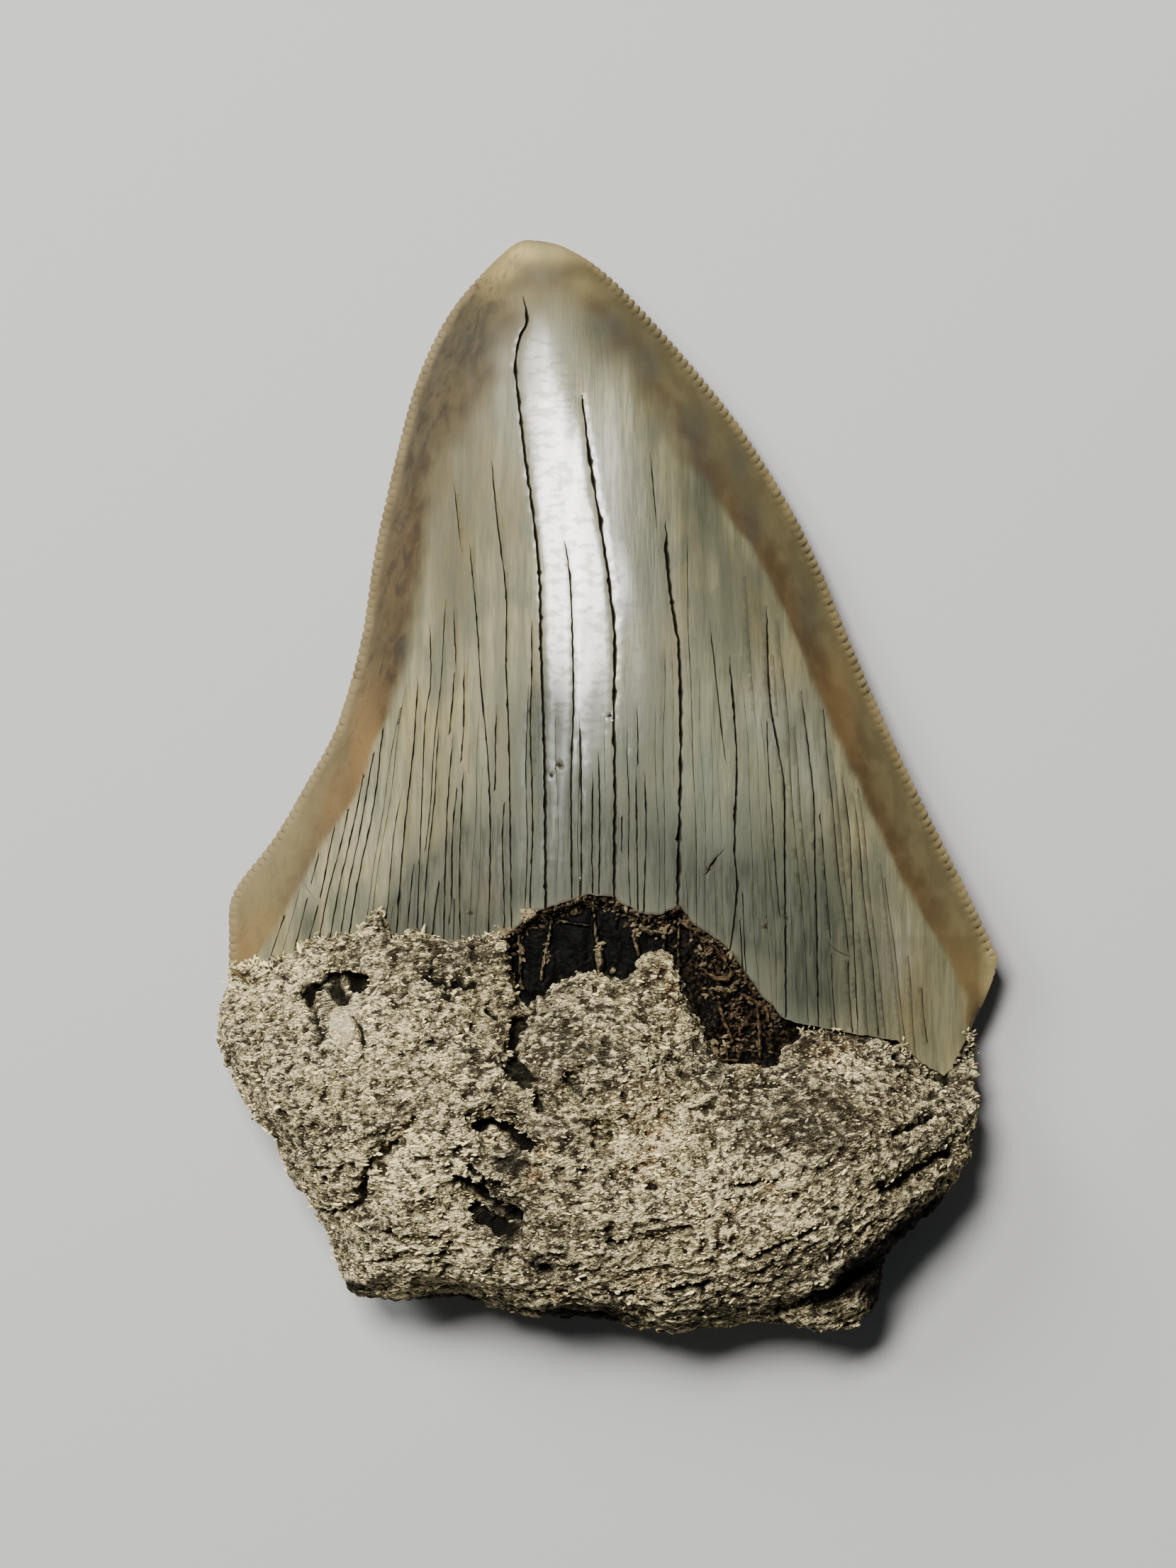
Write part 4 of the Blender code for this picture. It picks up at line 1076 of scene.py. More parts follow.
def build_band():
    """A grid shaped into black blocks and crust, with a wall and a floor below it."""
    width, height = BAND_HIGH[0] - BAND_LOW[0], BAND_HIGH[1] - BAND_LOW[1]
    centre = ((BAND_LOW[0] + BAND_HIGH[0]) / 2 * MM, (BAND_LOW[1] + BAND_HIGH[1]) / 2 * MM, 0.0)
    bpy.ops.object.select_all(action="DESELECT")
    across_count, up_count = round(width / BAND_STEP), round(height / BAND_STEP)
    bpy.ops.mesh.primitive_grid_add(
        x_subdivisions=across_count, y_subdivisions=up_count, size=1.0, location=centre)
    band = bpy.context.active_object
    band.name = "bare_band"
    band.scale = (width * MM, height * MM, 1.0)
    bpy.ops.object.transform_apply(location=True, rotation=False, scale=True)
    bpy.ops.object.mode_set(mode="EDIT")
    bpy.ops.mesh.select_all(action="SELECT")
    bpy.ops.mesh.extrude_region_move(TRANSFORM_OT_translate={"value": (0.0, 0.0, MM)})
    bpy.ops.object.mode_set(mode="OBJECT")

    places = vectors_of(band.data.vertices, "co") / MM
    top = places[:, 2] > 0.5
    places[:, 2] = 0.0
    xs, ys = places[:, 0], places[:, 1]
    jag = 0.10 * noise_at(places, 0.35) + 0.12 * noise_at(places, 0.9, shift=5.0)
    crust = np.zeros(len(xs))
    tan = np.zeros(len(xs))
    worn = 1.0 + 0.8 * noise_at(places, 0.8, shift=31.0)
    for tone, half, tall, way in CRUST_WALLS:
        wall = 1.0 - smoothstep(0.2 * half, 1.25 * half, nearest_on_way(xs, ys, way) + jag)
        crust = np.maximum(crust, tall * wall * worn)
        tan = np.maximum(tan, tone * wall)
    for x, y, size in CRUMBS:
        off = np.hypot(xs - x, ys - y) + jag
        crust = np.maximum(crust, CRUMB_HEIGHT * size * np.sqrt(np.clip(1.3 - (off / size) ** 2, 0.0, 1.0)))
        tan = np.maximum(tan, 1.0 - smoothstep(0.8 * size, 1.1 * size, off))
    rough = noise_at(places, 0.55, (0.8, 1.4, 1.0), 41.0) + 0.55 * noise_at(places, 0.22, shift=43.0)
    rubble = patches(xs, ys, RUBBLE) * smoothstep(-0.10, 0.35, rough)
    crust = np.maximum(crust, RUBBLE_HEIGHT * rubble)
    tan = np.maximum(tan, RUBBLE_TAN * rubble)
    below = border_y(ENAMEL_BORDER, xs) - ys
    rim = 1.0 - smoothstep(0.3, RIM_CRUST_REACH, below + 2.5 * jag)
    rim *= smoothstep(-4.0, 2.0, 14.0 - np.abs(xs - 1.0))
    crust = np.maximum(crust, rim * (RIM_CRUST + RIM_CRUST_SPREAD * noise_at(places, 0.4, shift=9.0)))
    tan = np.maximum(tan, rim * RIM_TAN)
    block = noise_at(places, 1.7, (0.6, 1.3, 1.0), 3.0)
    facet = np.abs(noise_at(places, 0.7, (0.7, 1.2, 1.0), 13.0))
    shards = SHARD_RELIEF * noise_at(places, 0.25, shift=21.0) * (1.0 + 3.0 * tan)
    relief = BLOCK_RELIEF * (block + 0.5 * facet) + shards
    surface = crown_front(xs, ys) - BAND_SINK
    places[:, 2] = surface + np.where(top, relief - BELOW_BLOCKS + crust, -BAND_DEPTH)
    move_vertices(band, places)
    give_attribute(band, "tan", tan)
    give_attribute(band, "rusty", 0.25 + 0.75 * smoothstep(4.0, 9.0, xs))
    shade(band, 60.0)
    return band


def grains(name, centres, sizes, turns, tones, seed, longest=2.0):
    """Many small angular grains, each with a shape of its own and its long side turned, as one piece."""
    bpy.ops.object.select_all(action="DESELECT")
    bpy.ops.mesh.primitive_ico_sphere_add(subdivisions=1, radius=1.0)
    pebble = bpy.context.active_object
    shape = np.array([vertex.co for vertex in pebble.data.vertices])
    sides = np.array([face.vertices for face in pebble.data.polygons])
    bpy.data.objects.remove(pebble)
    dice = np.random.default_rng(seed)
    count = len(centres)
    stones = shape * dice.uniform(*GRAIN_SQUASH, (count, len(shape), 1))
    stones *= dice.uniform(GRAIN_SHORTEST, (longest, 0.9, 0.9), (count, 3))[:, None, :]
    turn = np.radians(turns + dice.normal(0.0, GRAIN_TURN_SPREAD, count))[:, None]
    tilt = dice.uniform(-GRAIN_TILT, GRAIN_TILT, count)[:, None]
    x = stones[:, :, 0] * np.cos(tilt) - stones[:, :, 2] * np.sin(tilt)
    z = stones[:, :, 0] * np.sin(tilt) + stones[:, :, 2] * np.cos(tilt)
    stones = np.stack((x * np.cos(turn) - stones[:, :, 1] * np.sin(turn),
                       x * np.sin(turn) + stones[:, :, 1] * np.cos(turn), z), axis=2)
    stones = stones * sizes[:, None, None] + centres[:, None, :]
    faces = sides + np.arange(count)[:, None, None] * len(shape)
    piece = new_piece(name, stones.reshape(-1, 3), faces.reshape(-1, 3).tolist())
    give_attribute(piece, "tone", np.repeat(tones, len(shape)))
    return piece


def band_grains():
    """Grains of old sediment in heaps on the band and all along the broken edge of the enamel."""
    dice = np.random.default_rng(3)
    xs, ys, lift, tones = [], [], [], []
    for count, x, y, spread_x, spread_y, pale in HEAPS:
        xs.append(dice.normal(x, HEAP_SPREAD * spread_x, count))
        ys.append(dice.normal(y, HEAP_SPREAD * spread_y, count))
        lift.append(dice.uniform(*HEAP_LIFT, count))
        tones.append(dice.uniform(0.5 * pale, pale, count))
    rim_x = dice.uniform(RIM_FROM_X, RIM_TO_X, RIM_GRAINS)
    out = dice.exponential(RIM_SPREAD, RIM_GRAINS)
    xs.append(rim_x)
    ys.append(border_y(ENAMEL_END, rim_x) - RIM_INSET - out)
    lift.append(np.clip(RIM_LIFT - RIM_FALL * out, 0.0, RIM_LIFT) * dice.uniform(0.2, 1.0, RIM_GRAINS))
    tones.append(RIM_PALE * dice.beta(1.5, 3.5, RIM_GRAINS))
    xs, ys = np.concatenate(xs), np.concatenate(ys)
    on_enamel = smoothstep(0.30, -0.05, border_y(ENAMEL_END, xs) - ys)
    heights = crown_front(xs, ys) - (BAND_SINK + 0.1) * (1.0 - on_enamel) + np.concatenate(lift)
    sizes = dice.uniform(*BAND_GRAIN_SIZES, len(xs))
    turns = dice.uniform(*BAND_GRAIN_TURNS, len(xs))
    centres = np.column_stack((xs, ys, heights))
    return grains("band_grains", centres, sizes, turns, np.concatenate(tones), seed=9)


def sediment(name, dark, light):
    """A dull material for grains, from a dark tone to a light one."""
    finish = Finish(name, {"Roughness": 0.9, "Specular IOR Level": 0.15})
    tone = finish.stored("tone") + (finish.noise(0.15, 3.0) - 0.5) * 0.5
    finish.feed("Base Color", finish.mix(finish.ease(tone, 0.0, 1.0), dark, light))
    finish.feed("Normal", finish.bump(finish.noise(0.12, 3.0), 0.03))
    return finish


def shaded_black_dentine():
    """Black, glassy dentine, made near-black as painted shade as well, with tan and rusty crust."""
    finish = Finish("shaded_black_dentine", {"IOR": 1.5, "Specular IOR Level": 0.04})
    mix, ease, stored = finish.mix, finish.ease, finish.stored
    tan = stored("tan")
    crust = mix(stored("rusty"), (0.145, 0.120, 0.074), (0.082, 0.054, 0.028))
    crust = mix(ease(finish.noise(0.30, 4.0), 0.42, 0.60) * 0.85, crust, (0.022, 0.015, 0.008))
    black = mix(ease(finish.noise(0.5, 4.0), 0.56, 0.75), (0.001, 0.001, 0.0007), (0.011, 0.008, 0.005))
    soil = ease(finish.noise(0.45, 4.0, offset=(4.0, 0.0, 0.0)), 0.50, 0.64)
    black = mix(soil * (stored("rusty") - 0.25), black, (0.038, 0.024, 0.012))
    colour = mix(ease(tan + (finish.noise(0.4, 3.0) - 0.5) * 0.5, 0.25, 0.6), black, crust)
    finish.feed("Base Color", colour)
    finish.feed("Roughness", 0.55 + ease(tan, 0.1, 0.5) * 0.35)
    finish.feed("Normal", finish.bump(finish.noise(0.22, 4.0), 0.05))
    return finish


bare_band = build_band()
shaded_black_dentine().wear(bare_band)
rim_crust = band_grains()
sediment("brown_sediment", (0.017, 0.009, 0.004), (0.330, 0.262, 0.150)).wear(rim_crust)
for piece in (bare_band, rim_crust):
    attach(piece, "root")
    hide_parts("tooth")

# ---------------------------------------------------------------------------------------------------
# The root: porous, sand-coloured fossil bone, worn and broken, that grips the foot of the crown. Its
# solid is parted from the crown along the ragged edge of the enamel, and its surface is then worked
# up with fibres, grains, pits and the deeper crevices.
# ---------------------------------------------------------------------------------------------------
ROOT_TOP = [
    (-9.4, -13.9), (-8.7, -18.0), (-7.8, -21.0), (-6.3, -20.0), (-3.8, -18.3), (-1.8, -17.4),
    (1.4, -18.3), (2.4, -17.7), (3.1, -15.7), (5.7, -15.4), (6.7, -18.3), (7.7, -21.3),
    (9.3, -23.9), (10.6, -25.9), (15.5, -25.9), (15.9, -24.6), (18.8, -22.3),
]
ROOT_UPPER_EDGE = (
    [place for place in ENAMEL_BORDER if place[0] < ROOT_TOP[0][0]] + ROOT_TOP
    + [place for place in ENAMEL_BORDER if place[0] > ROOT_TOP[-1][0]]
)
PARTING_Z = 5.2
RAGGED_STEP = 0.35
RAGGED = 0.45
OVERLAP = 0.40
LEFT_END_X = -33.0
LEFT_END_OVERLAP = 2.5
# The blocks that part it: the levels where they meet their sides, the sides, and how far they reach.
UPPER_ENDS = (-17.4, -19.0)
LOWER_ENDS = (-20.0, -23.0)
BLOCK_SIDE_X = 40.0
BLOCK_TOP_Y = 60.0
BLOCK_HIGH_Z = 30.0
BLOCK_LOW_Z = -2.0
PARTING_LAP = 0.01
WELD = 0.001
GRAIN_VOXEL = 0.25
KEPT_BELOW = 0.25
LOOKS_DOWN = -0.5
FLAT_BELOW_Z = 0.3
FREE_ABOVE_Z = 1.2
JOINT_REACH = 0.32
HOLLOW_CELL = 0.5
HOLLOW_BLURS = 2
# Crevices and pits: depth, half width, how dark their painted shade is, and the way.
CREVICES = [
    (1.6, 0.60, 1.0, [(-27.6, -18.9), (-26.0, -17.9), (-24.0, -17.7), (-22.6, -18.3)]),
    (1.0, 0.70, 0.9, [(-25.3, -18.6), (-24.2, -19.4)]),
    (0.8, 0.40, 0.7, [(-27.6, -19.0), (-27.0, -21.0), (-26.2, -23.2)]),
    (1.2, 0.34, 1.0, [(-16.6, -17.5), (-14.6, -17.9), (-12.4, -18.2)]),
    (0.9, 0.40, 0.8, [(-14.9, -18.9), (-14.2, -19.3)]),
    (0.7, 0.25, 0.6, [(-17.8, -20.3), (-17.0, -20.7)]),
    (0.8, 0.35, 0.8, [(-11.0, -20.6), (-10.2, -21.0)]),
    (1.5, 0.55, 1.0, [(-8.6, -15.0), (-8.0, -18.5), (-7.2, -20.3)]),
    (1.3, 0.40, 1.0, [(-7.4, -20.6), (-8.2, -21.8), (-8.5, -23.6), (-8.2, -25.4)]),
    (1.3, 0.80, 1.0, [(-8.4, -25.6), (-7.6, -26.4)]),
    (0.9, 0.35, 0.7, [(-6.5, -28.2), (-6.1, -29.5)]),
    (1.4, 0.45, 1.0, [(-11.6, -31.0), (-10.4, -30.7), (-8.9, -31.3), (-7.2, -32.5)]),
    (0.9, 1.20, 0.5, [(-10.0, -33.3), (-8.4, -34.6)]),
    (1.4, 0.50, 1.0, [(-13.6, -35.9), (-12.2, -36.6), (-10.2, -37.7), (-8.3, -39.1)]),
    (1.1, 0.40, 0.9, [(-12.6, -34.7), (-11.0, -35.9), (-9.2, -36.6)]),
    (1.2, 0.55, 0.8, [(-12.0, -38.4), (-10.4, -39.6), (-8.8, -40.4)]),
    (0.7, 0.28, 0.5, [(-17.5, -30.6), (-19.8, -31.6), (-22.0, -31.9)]),
    (0.9, 0.36, 0.62, [(-19.2, -32.4), (-20.6, -33.6), (-21.7, -34.7), (-22.2, -36.6)]),
    (1.0, 0.38, 0.75, [(-22.2, -36.6), (-22.6, -38.0), (-24.2, -38.9), (-26.6, -39.4)]),
    (1.0, 0.45, 0.6, [(-3.5, -26.4), (-2.4, -28.4)]),
    (0.8, 0.35, 0.9, [(1.4, -29.6), (1.9, -29.9)]),
    (0.8, 0.30, 0.9, [(3.6, -36.2), (4.0, -36.4)]),
    (0.9, 0.30, 0.9, [(0.5, -46.6), (1.9, -46.2)]),
    (0.8, 0.50, 0.5, [(-6.9, -43.8), (-5.5, -44.2)]),
    (1.0, 0.30, 0.8, [(26.2, -31.6), (28.3, -30.7), (30.0, -29.8)]),
    (1.2, 0.50, 0.8, [(25.4, -37.0), (27.6, -35.4), (29.6, -34.5), (31.6, -33.6)]),
    (0.8, 0.25, 0.8, [(26.4, -25.0), (28.6, -26.7), (31.2, -27.3)]),
    (0.7, 0.25, 0.6, [(11.6, -36.3), (15.0, -36.0)]),
    (0.8, 0.30, 0.7, [(13.0, -43.0), (16.0, -41.8), (19.0, -40.2)]),
    (0.7, 0.25, 0.6, [(-1.5, -41.0), (1.6, -41.8)]),
    (0.8, 0.30, 0.7, [(6.0, -46.0), (9.0, -45.4)]),
    (0.7, 0.25, 0.6, [(-20.3, -40.8), (-18.2, -41.3)]),
    (0.7, 0.35, 0.6, [(-21.0, -43.6), (-19.0, -43.2)]),
    (0.5, 0.13, 0.8, [(-23.8, -20.0), (-22.4, -21.9), (-22.1, -24.7)]),
    (0.6, 0.22, 0.7, [(-16.4, -14.8), (-16.0, -16.9)]),
    (0.6, 0.22, 0.7, [(-12.4, -14.6), (-12.9, -16.8)]),
]
# Nodules of smooth grey stone: place, half sizes, turn and height.
NODULES = [
    (-3.0, -27.2, 0.5, 1.2, 30.0, 0.5), (-0.5, -31.4, 0.55, 0.85, 10.0, 0.5),
    (-15.3, -32.9, 0.4, 0.65, -10.0, 0.4), (-6.1, -29.3, 0.4, 0.7, 15.0, 0.3),
    (-7.4, -25.6, 0.4, 0.5, 0.0, 0.8), (-6.3, -43.9, 0.7, 0.6, 0.0, 0.3),
    (-10.2, -37.2, 1.6, 0.22, -28.0, 0.6), (-11.3, -35.2, 1.5, 0.2, -35.0, 0.6),
    (-8.6, -33.6, 1.0, 1.0, 0.0, 0.3),
]
SMOOTH_WEDGE = (-24.1, -21.7, 1.3, 2.3)
# Rust, grey and paler, cleaner bone: place, half sizes and strength.
RUST = [
    (3.9, -30.5, 2.6, 3.5, 0.7), (20.4, -24.3, 2.0, 1.3, 1.0), (2.8, -33.4, 2.5, 2.5, 0.5),
    (-5.9, -33.0, 0.7, 0.5, 1.3), (-6.9, -35.2, 0.9, 0.9, 0.8), (-4.8, -46.6, 1.0, 0.6, 1.2),
    (3.5, -44.9, 0.9, 0.6, 1.0), (5.8, -18.0, 1.2, 2.2, 0.6), (14.0, -36.5, 2.5, 1.0, 0.5),
    (-8.7, -14.4, 0.5, 1.0, 0.9), (8.3, -38.3, 3.0, 1.8, 0.4),
]
GREY = [
    (-8.9, -33.9, 1.6, 1.6, 1.0), (-4.0, -40.0, 3.5, 4.0, 0.3), (19.0, -30.5, 4.5, 3.5, 0.8),
    (15.5, -43.5, 3.0, 2.5, 0.4), (-26.5, -22.0, 1.0, 2.2, 0.7), (-6.3, -44.0, 1.2, 1.0, 0.8),
    (-5.0, -22.8, 3.0, 4.0, 0.55), (-14.5, -16.0, 4.6, 1.5, 0.9), (-22.5, -16.0, 1.6, 1.0, 0.5),
    (-9.4, -39.5, 2.4, 2.6, 0.6), (-5.0, -30.2, 2.0, 2.0, 0.5), (19.2, -22.8, 4.0, 1.8, 0.9),
    (13.4, -29.8, 2.6, 2.6, 0.5), (-9.0, -39.3, 1.5, 2.6, 0.7), (-0.4, -24.6, 2.4, 1.7, 0.8),
    (9.0, -25.8, 2.6, 1.8, 0.5), (24.5, -26.0, 2.5, 2.5, 0.3), (18.5, -44.0, 2.5, 2.5, 0.4),
]
PALE = [
    (-32.8, -17.6, 2.4, 1.8, 0.9), (-19.5, -22.0, 6.5, 3.4, 0.9), (22.0, -25.8, 3.4, 1.8, 0.8),
    (-27.5, -24.5, 2.4, 3.0, 0.5), (1.0, -25.5, 2.6, 1.6, 0.7), (4.4, -30.0, 2.8, 2.4, 0.8),
    (-14.4, -31.0, 3.0, 3.0, 0.6), (-28.0, -16.8, 2.6, 1.2, 0.8), (-17.0, -34.6, 4.4, 2.8, 1.0),
    (-16.5, -43.8, 5.4, 2.8, 1.0), (11.0, -38.2, 6.0, 3.4, 0.9), (-0.4, -39.0, 2.8, 3.6, 1.0),
    (4.6, -33.6, 4.4, 3.0, 0.9), (-14.0, -39.4, 2.4, 2.0, 0.5), (-29.5, -18.5, 3.0, 1.6, 0.7),
    (-1.0, -20.4, 2.6, 1.6, 0.4), (23.0, -17.0, 5.0, 3.0, 0.5), (-17.6, -35.4, 3.5, 2.0, 0.8),
    (-12.0, -33.0, 2.4, 2.0, 0.6), (13.6, -34.8, 2.6, 1.6, 0.6),
]
# Painted shadow: black on the low shelf at the lower right, under the root's overhang, and along the foot of
# the root; the weaker spots on the lower lip darken it.
PAINTED_SHADOW = [
    (22.3, -45.0, 1.7, 1.3, 1.2), (25.0, -43.2, 2.4, 1.5, 1.3), (27.9, -41.0, 2.4, 1.5, 1.2),
    (25.6, -46.6, 1.7, 2.4, 1.2), (30.4, -38.9, 1.8, 1.3, 1.0), (-2.5, -49.2, 5.0, 1.5, 1.0),
    (-15.0, -47.6, 6.0, 0.9, 0.9), (-24.0, -46.2, 2.5, 1.0, 0.8), (24.5, -44.4, 3.0, 1.2, 1.4),
    (27.6, -42.6, 2.6, 1.0, 1.2), (21.0, -48.4, 4.5, 1.8, 0.44), (19.5, -46.4, 2.0, 0.6, 0.8),
]
# How much of each pattern goes into the surface, and into its light and dark flecks. The flecks follow the
# relief, raised bits paler and pores darker: partly the bone's own tone, partly painted highlight and shade.
IN_RELIEF = {"lumps": 0.22, "fibre": 0.26, "splinters": 0.26, "crumbs": 0.20, "grain": 0.14, "pore": -0.50}
IN_FLECKS = {"lumps": 0.10, "fibre": 0.17, "splinters": 0.36, "crumbs": 0.30, "grain": 0.14, "pore": -0.50}
MIDDLE_OF_GRAIN = 0.7
NODULE_SMOOTHNESS = 0.7
# Painted shade in hollows: how far below its surroundings a place must lie to darken, and how dark it is
# painted.
HOLLOW_DEPTH = (0.55, 2.0)
HOLLOW_DARKNESS = 0.75

GRAIN_SPACING = 0.52
GRAIN_SIZE = 0.105
GRAIN_SIZES = (0.05, 0.24)
EDGE_GRAIN_SIZES = (0.05, 0.28)
EDGE_GRAIN_TURNS = (-70.0, 70.0)
UNSHADED_BELOW = 0.3
LEAST_HEIGHT = 1.0
LEAST_UPWARD = 0.05
EDGE_GRAINS = 420
EDGE_GRAINS_FROM_X = -35.0
EDGE_GRAINS_TO_X = -9.6
# Crumbs that reach up over the enamel: place, half sizes and how many.
EDGE_CRUMBS = [
    (-21.2, -11.9, 0.5, 0.4, 30), (-21.4, -13.0, 0.35, 0.7, 26), (-21.0, -14.3, 0.8, 0.5, 50),
    (-17.1, -14.0, 0.5, 0.5, 20), (-27.2, -14.6, 0.6, 0.4, 24), (-34.3, -17.6, 1.0, 0.8, 60),
    (27.2, -24.6, 0.5, 0.9, 20), (33.6, -23.8, 0.6, 0.9, 26), (19.5, -22.6, 2.0, 0.4, 40),
    (12.6, -25.9, 1.2, 0.3, 20),
]


def ragged(border, reach):
    """A border walked in short steps and broken up across its run."""
    walked = along([Vector(place) for place in border], RAGGED_STEP)
    torn = []
    for place in walked:
        shift = noise.noise(Vector((place.x / 0.9, place.y / 0.9, 2.0))) + 0.6 * noise.noise(
            Vector((place.x / 0.4, place.y / 0.4, 7.0)))
        torn.append((place.x, place.y + reach * shift))
    return torn


def block_above(name, border, ends, low, high):
    """A block over all that lies above a border on the plan, between two heights."""
    corners = [(-BLOCK_SIDE_X, BLOCK_TOP_Y), (-BLOCK_SIDE_X, ends[0]), *border,
               (BLOCK_SIDE_X, ends[1]), (BLOCK_SIDE_X, BLOCK_TOP_Y)]
    base = np.array([(x, y, low) for x, y in corners])
    block = new_piece(name, base, [list(range(len(corners)))])
    select_only(block)
    bpy.ops.object.mode_set(mode="EDIT")
    bpy.ops.mesh.select_all(action="SELECT")
    bpy.ops.mesh.extrude_region_move(TRANSFORM_OT_translate={"value": (0.0, 0.0, (high - low) * MM)})
    bpy.ops.mesh.select_all(action="SELECT")
    bpy.ops.mesh.normals_make_consistent(inside=False)
    bpy.ops.object.mode_set(mode="OBJECT")
    return block


def cut(piece, cutter):
    """Take the cutter out of the piece."""
    select_only(piece)
    modifier = piece.modifiers.new("part", "BOOLEAN")
    modifier.object = cutter
    modifier.operation = "DIFFERENCE"
    bpy.ops.object.modifier_apply(modifier=modifier.name)
    bpy.data.objects.remove(cutter)


def joints_at(places, size, stretch, shift, turn):
    """0 in the joints between grains of a size and 1 on them, stretched along turned axes."""
    nearest = [noise.voronoi(place)[0] for place in turned(places, size, stretch, shift, turn)]
    return smoothstep(0.0, JOINT_REACH, np.array([near[1] - near[0] for near in nearest]))


def sunk_below(xs, ys, zs):
    """How far each place lies below the mean level around it."""
    cell = HOLLOW_CELL
    columns = ((xs - xs.min()) / cell).astype(int)
    rows = ((ys - ys.min()) / cell).astype(int)
    level = np.full((rows.max() + 1, columns.max() + 1), -1.0)
    np.maximum.at(level, (rows, columns), zs)
    known = (level > 0.0).astype(float)
    level *= known
    for _ in range(HOLLOW_BLURS):
        for axis in (0, 1):
            level = sum(np.roll(level, step, axis) for step in (-2, -1, 0, 1, 2)) / 5.0
            known = sum(np.roll(known, step, axis) for step in (-2, -1, 0, 1, 2)) / 5.0
    mean = level / np.maximum(known, 0.01)
    return mean[rows, columns] - zs


def fibre_turn(xs, ys):
    """Which way the fibres run, in degrees: across the root, and up towards its lower right."""
    lean = smoothstep(4.0, 20.0, xs) * smoothstep(26.0, 36.0, -ys)
    return 6.0 + 26.0 * lean - 16.0 * smoothstep(-16.0, -28.0, xs) * smoothstep(30.0, 42.0, -ys)


def thin_out_below(piece, share):
    """The faces that look down, where nothing fine shows, thinned out to a share of their number."""
    bpy.ops.object.mode_set(mode="EDIT")
    bpy.ops.mesh.select_mode(type="FACE")
    bpy.ops.mesh.select_all(action="DESELECT")
    bpy.ops.object.mode_set(mode="OBJECT")
    upward = vectors_of(piece.data.polygons, "normal")[:, 2]
    piece.data.polygons.foreach_set("select", upward < LOOKS_DOWN)
    bpy.ops.object.mode_set(mode="EDIT")
    bpy.ops.mesh.decimate(ratio=share)
    bpy.ops.object.mode_set(mode="OBJECT")


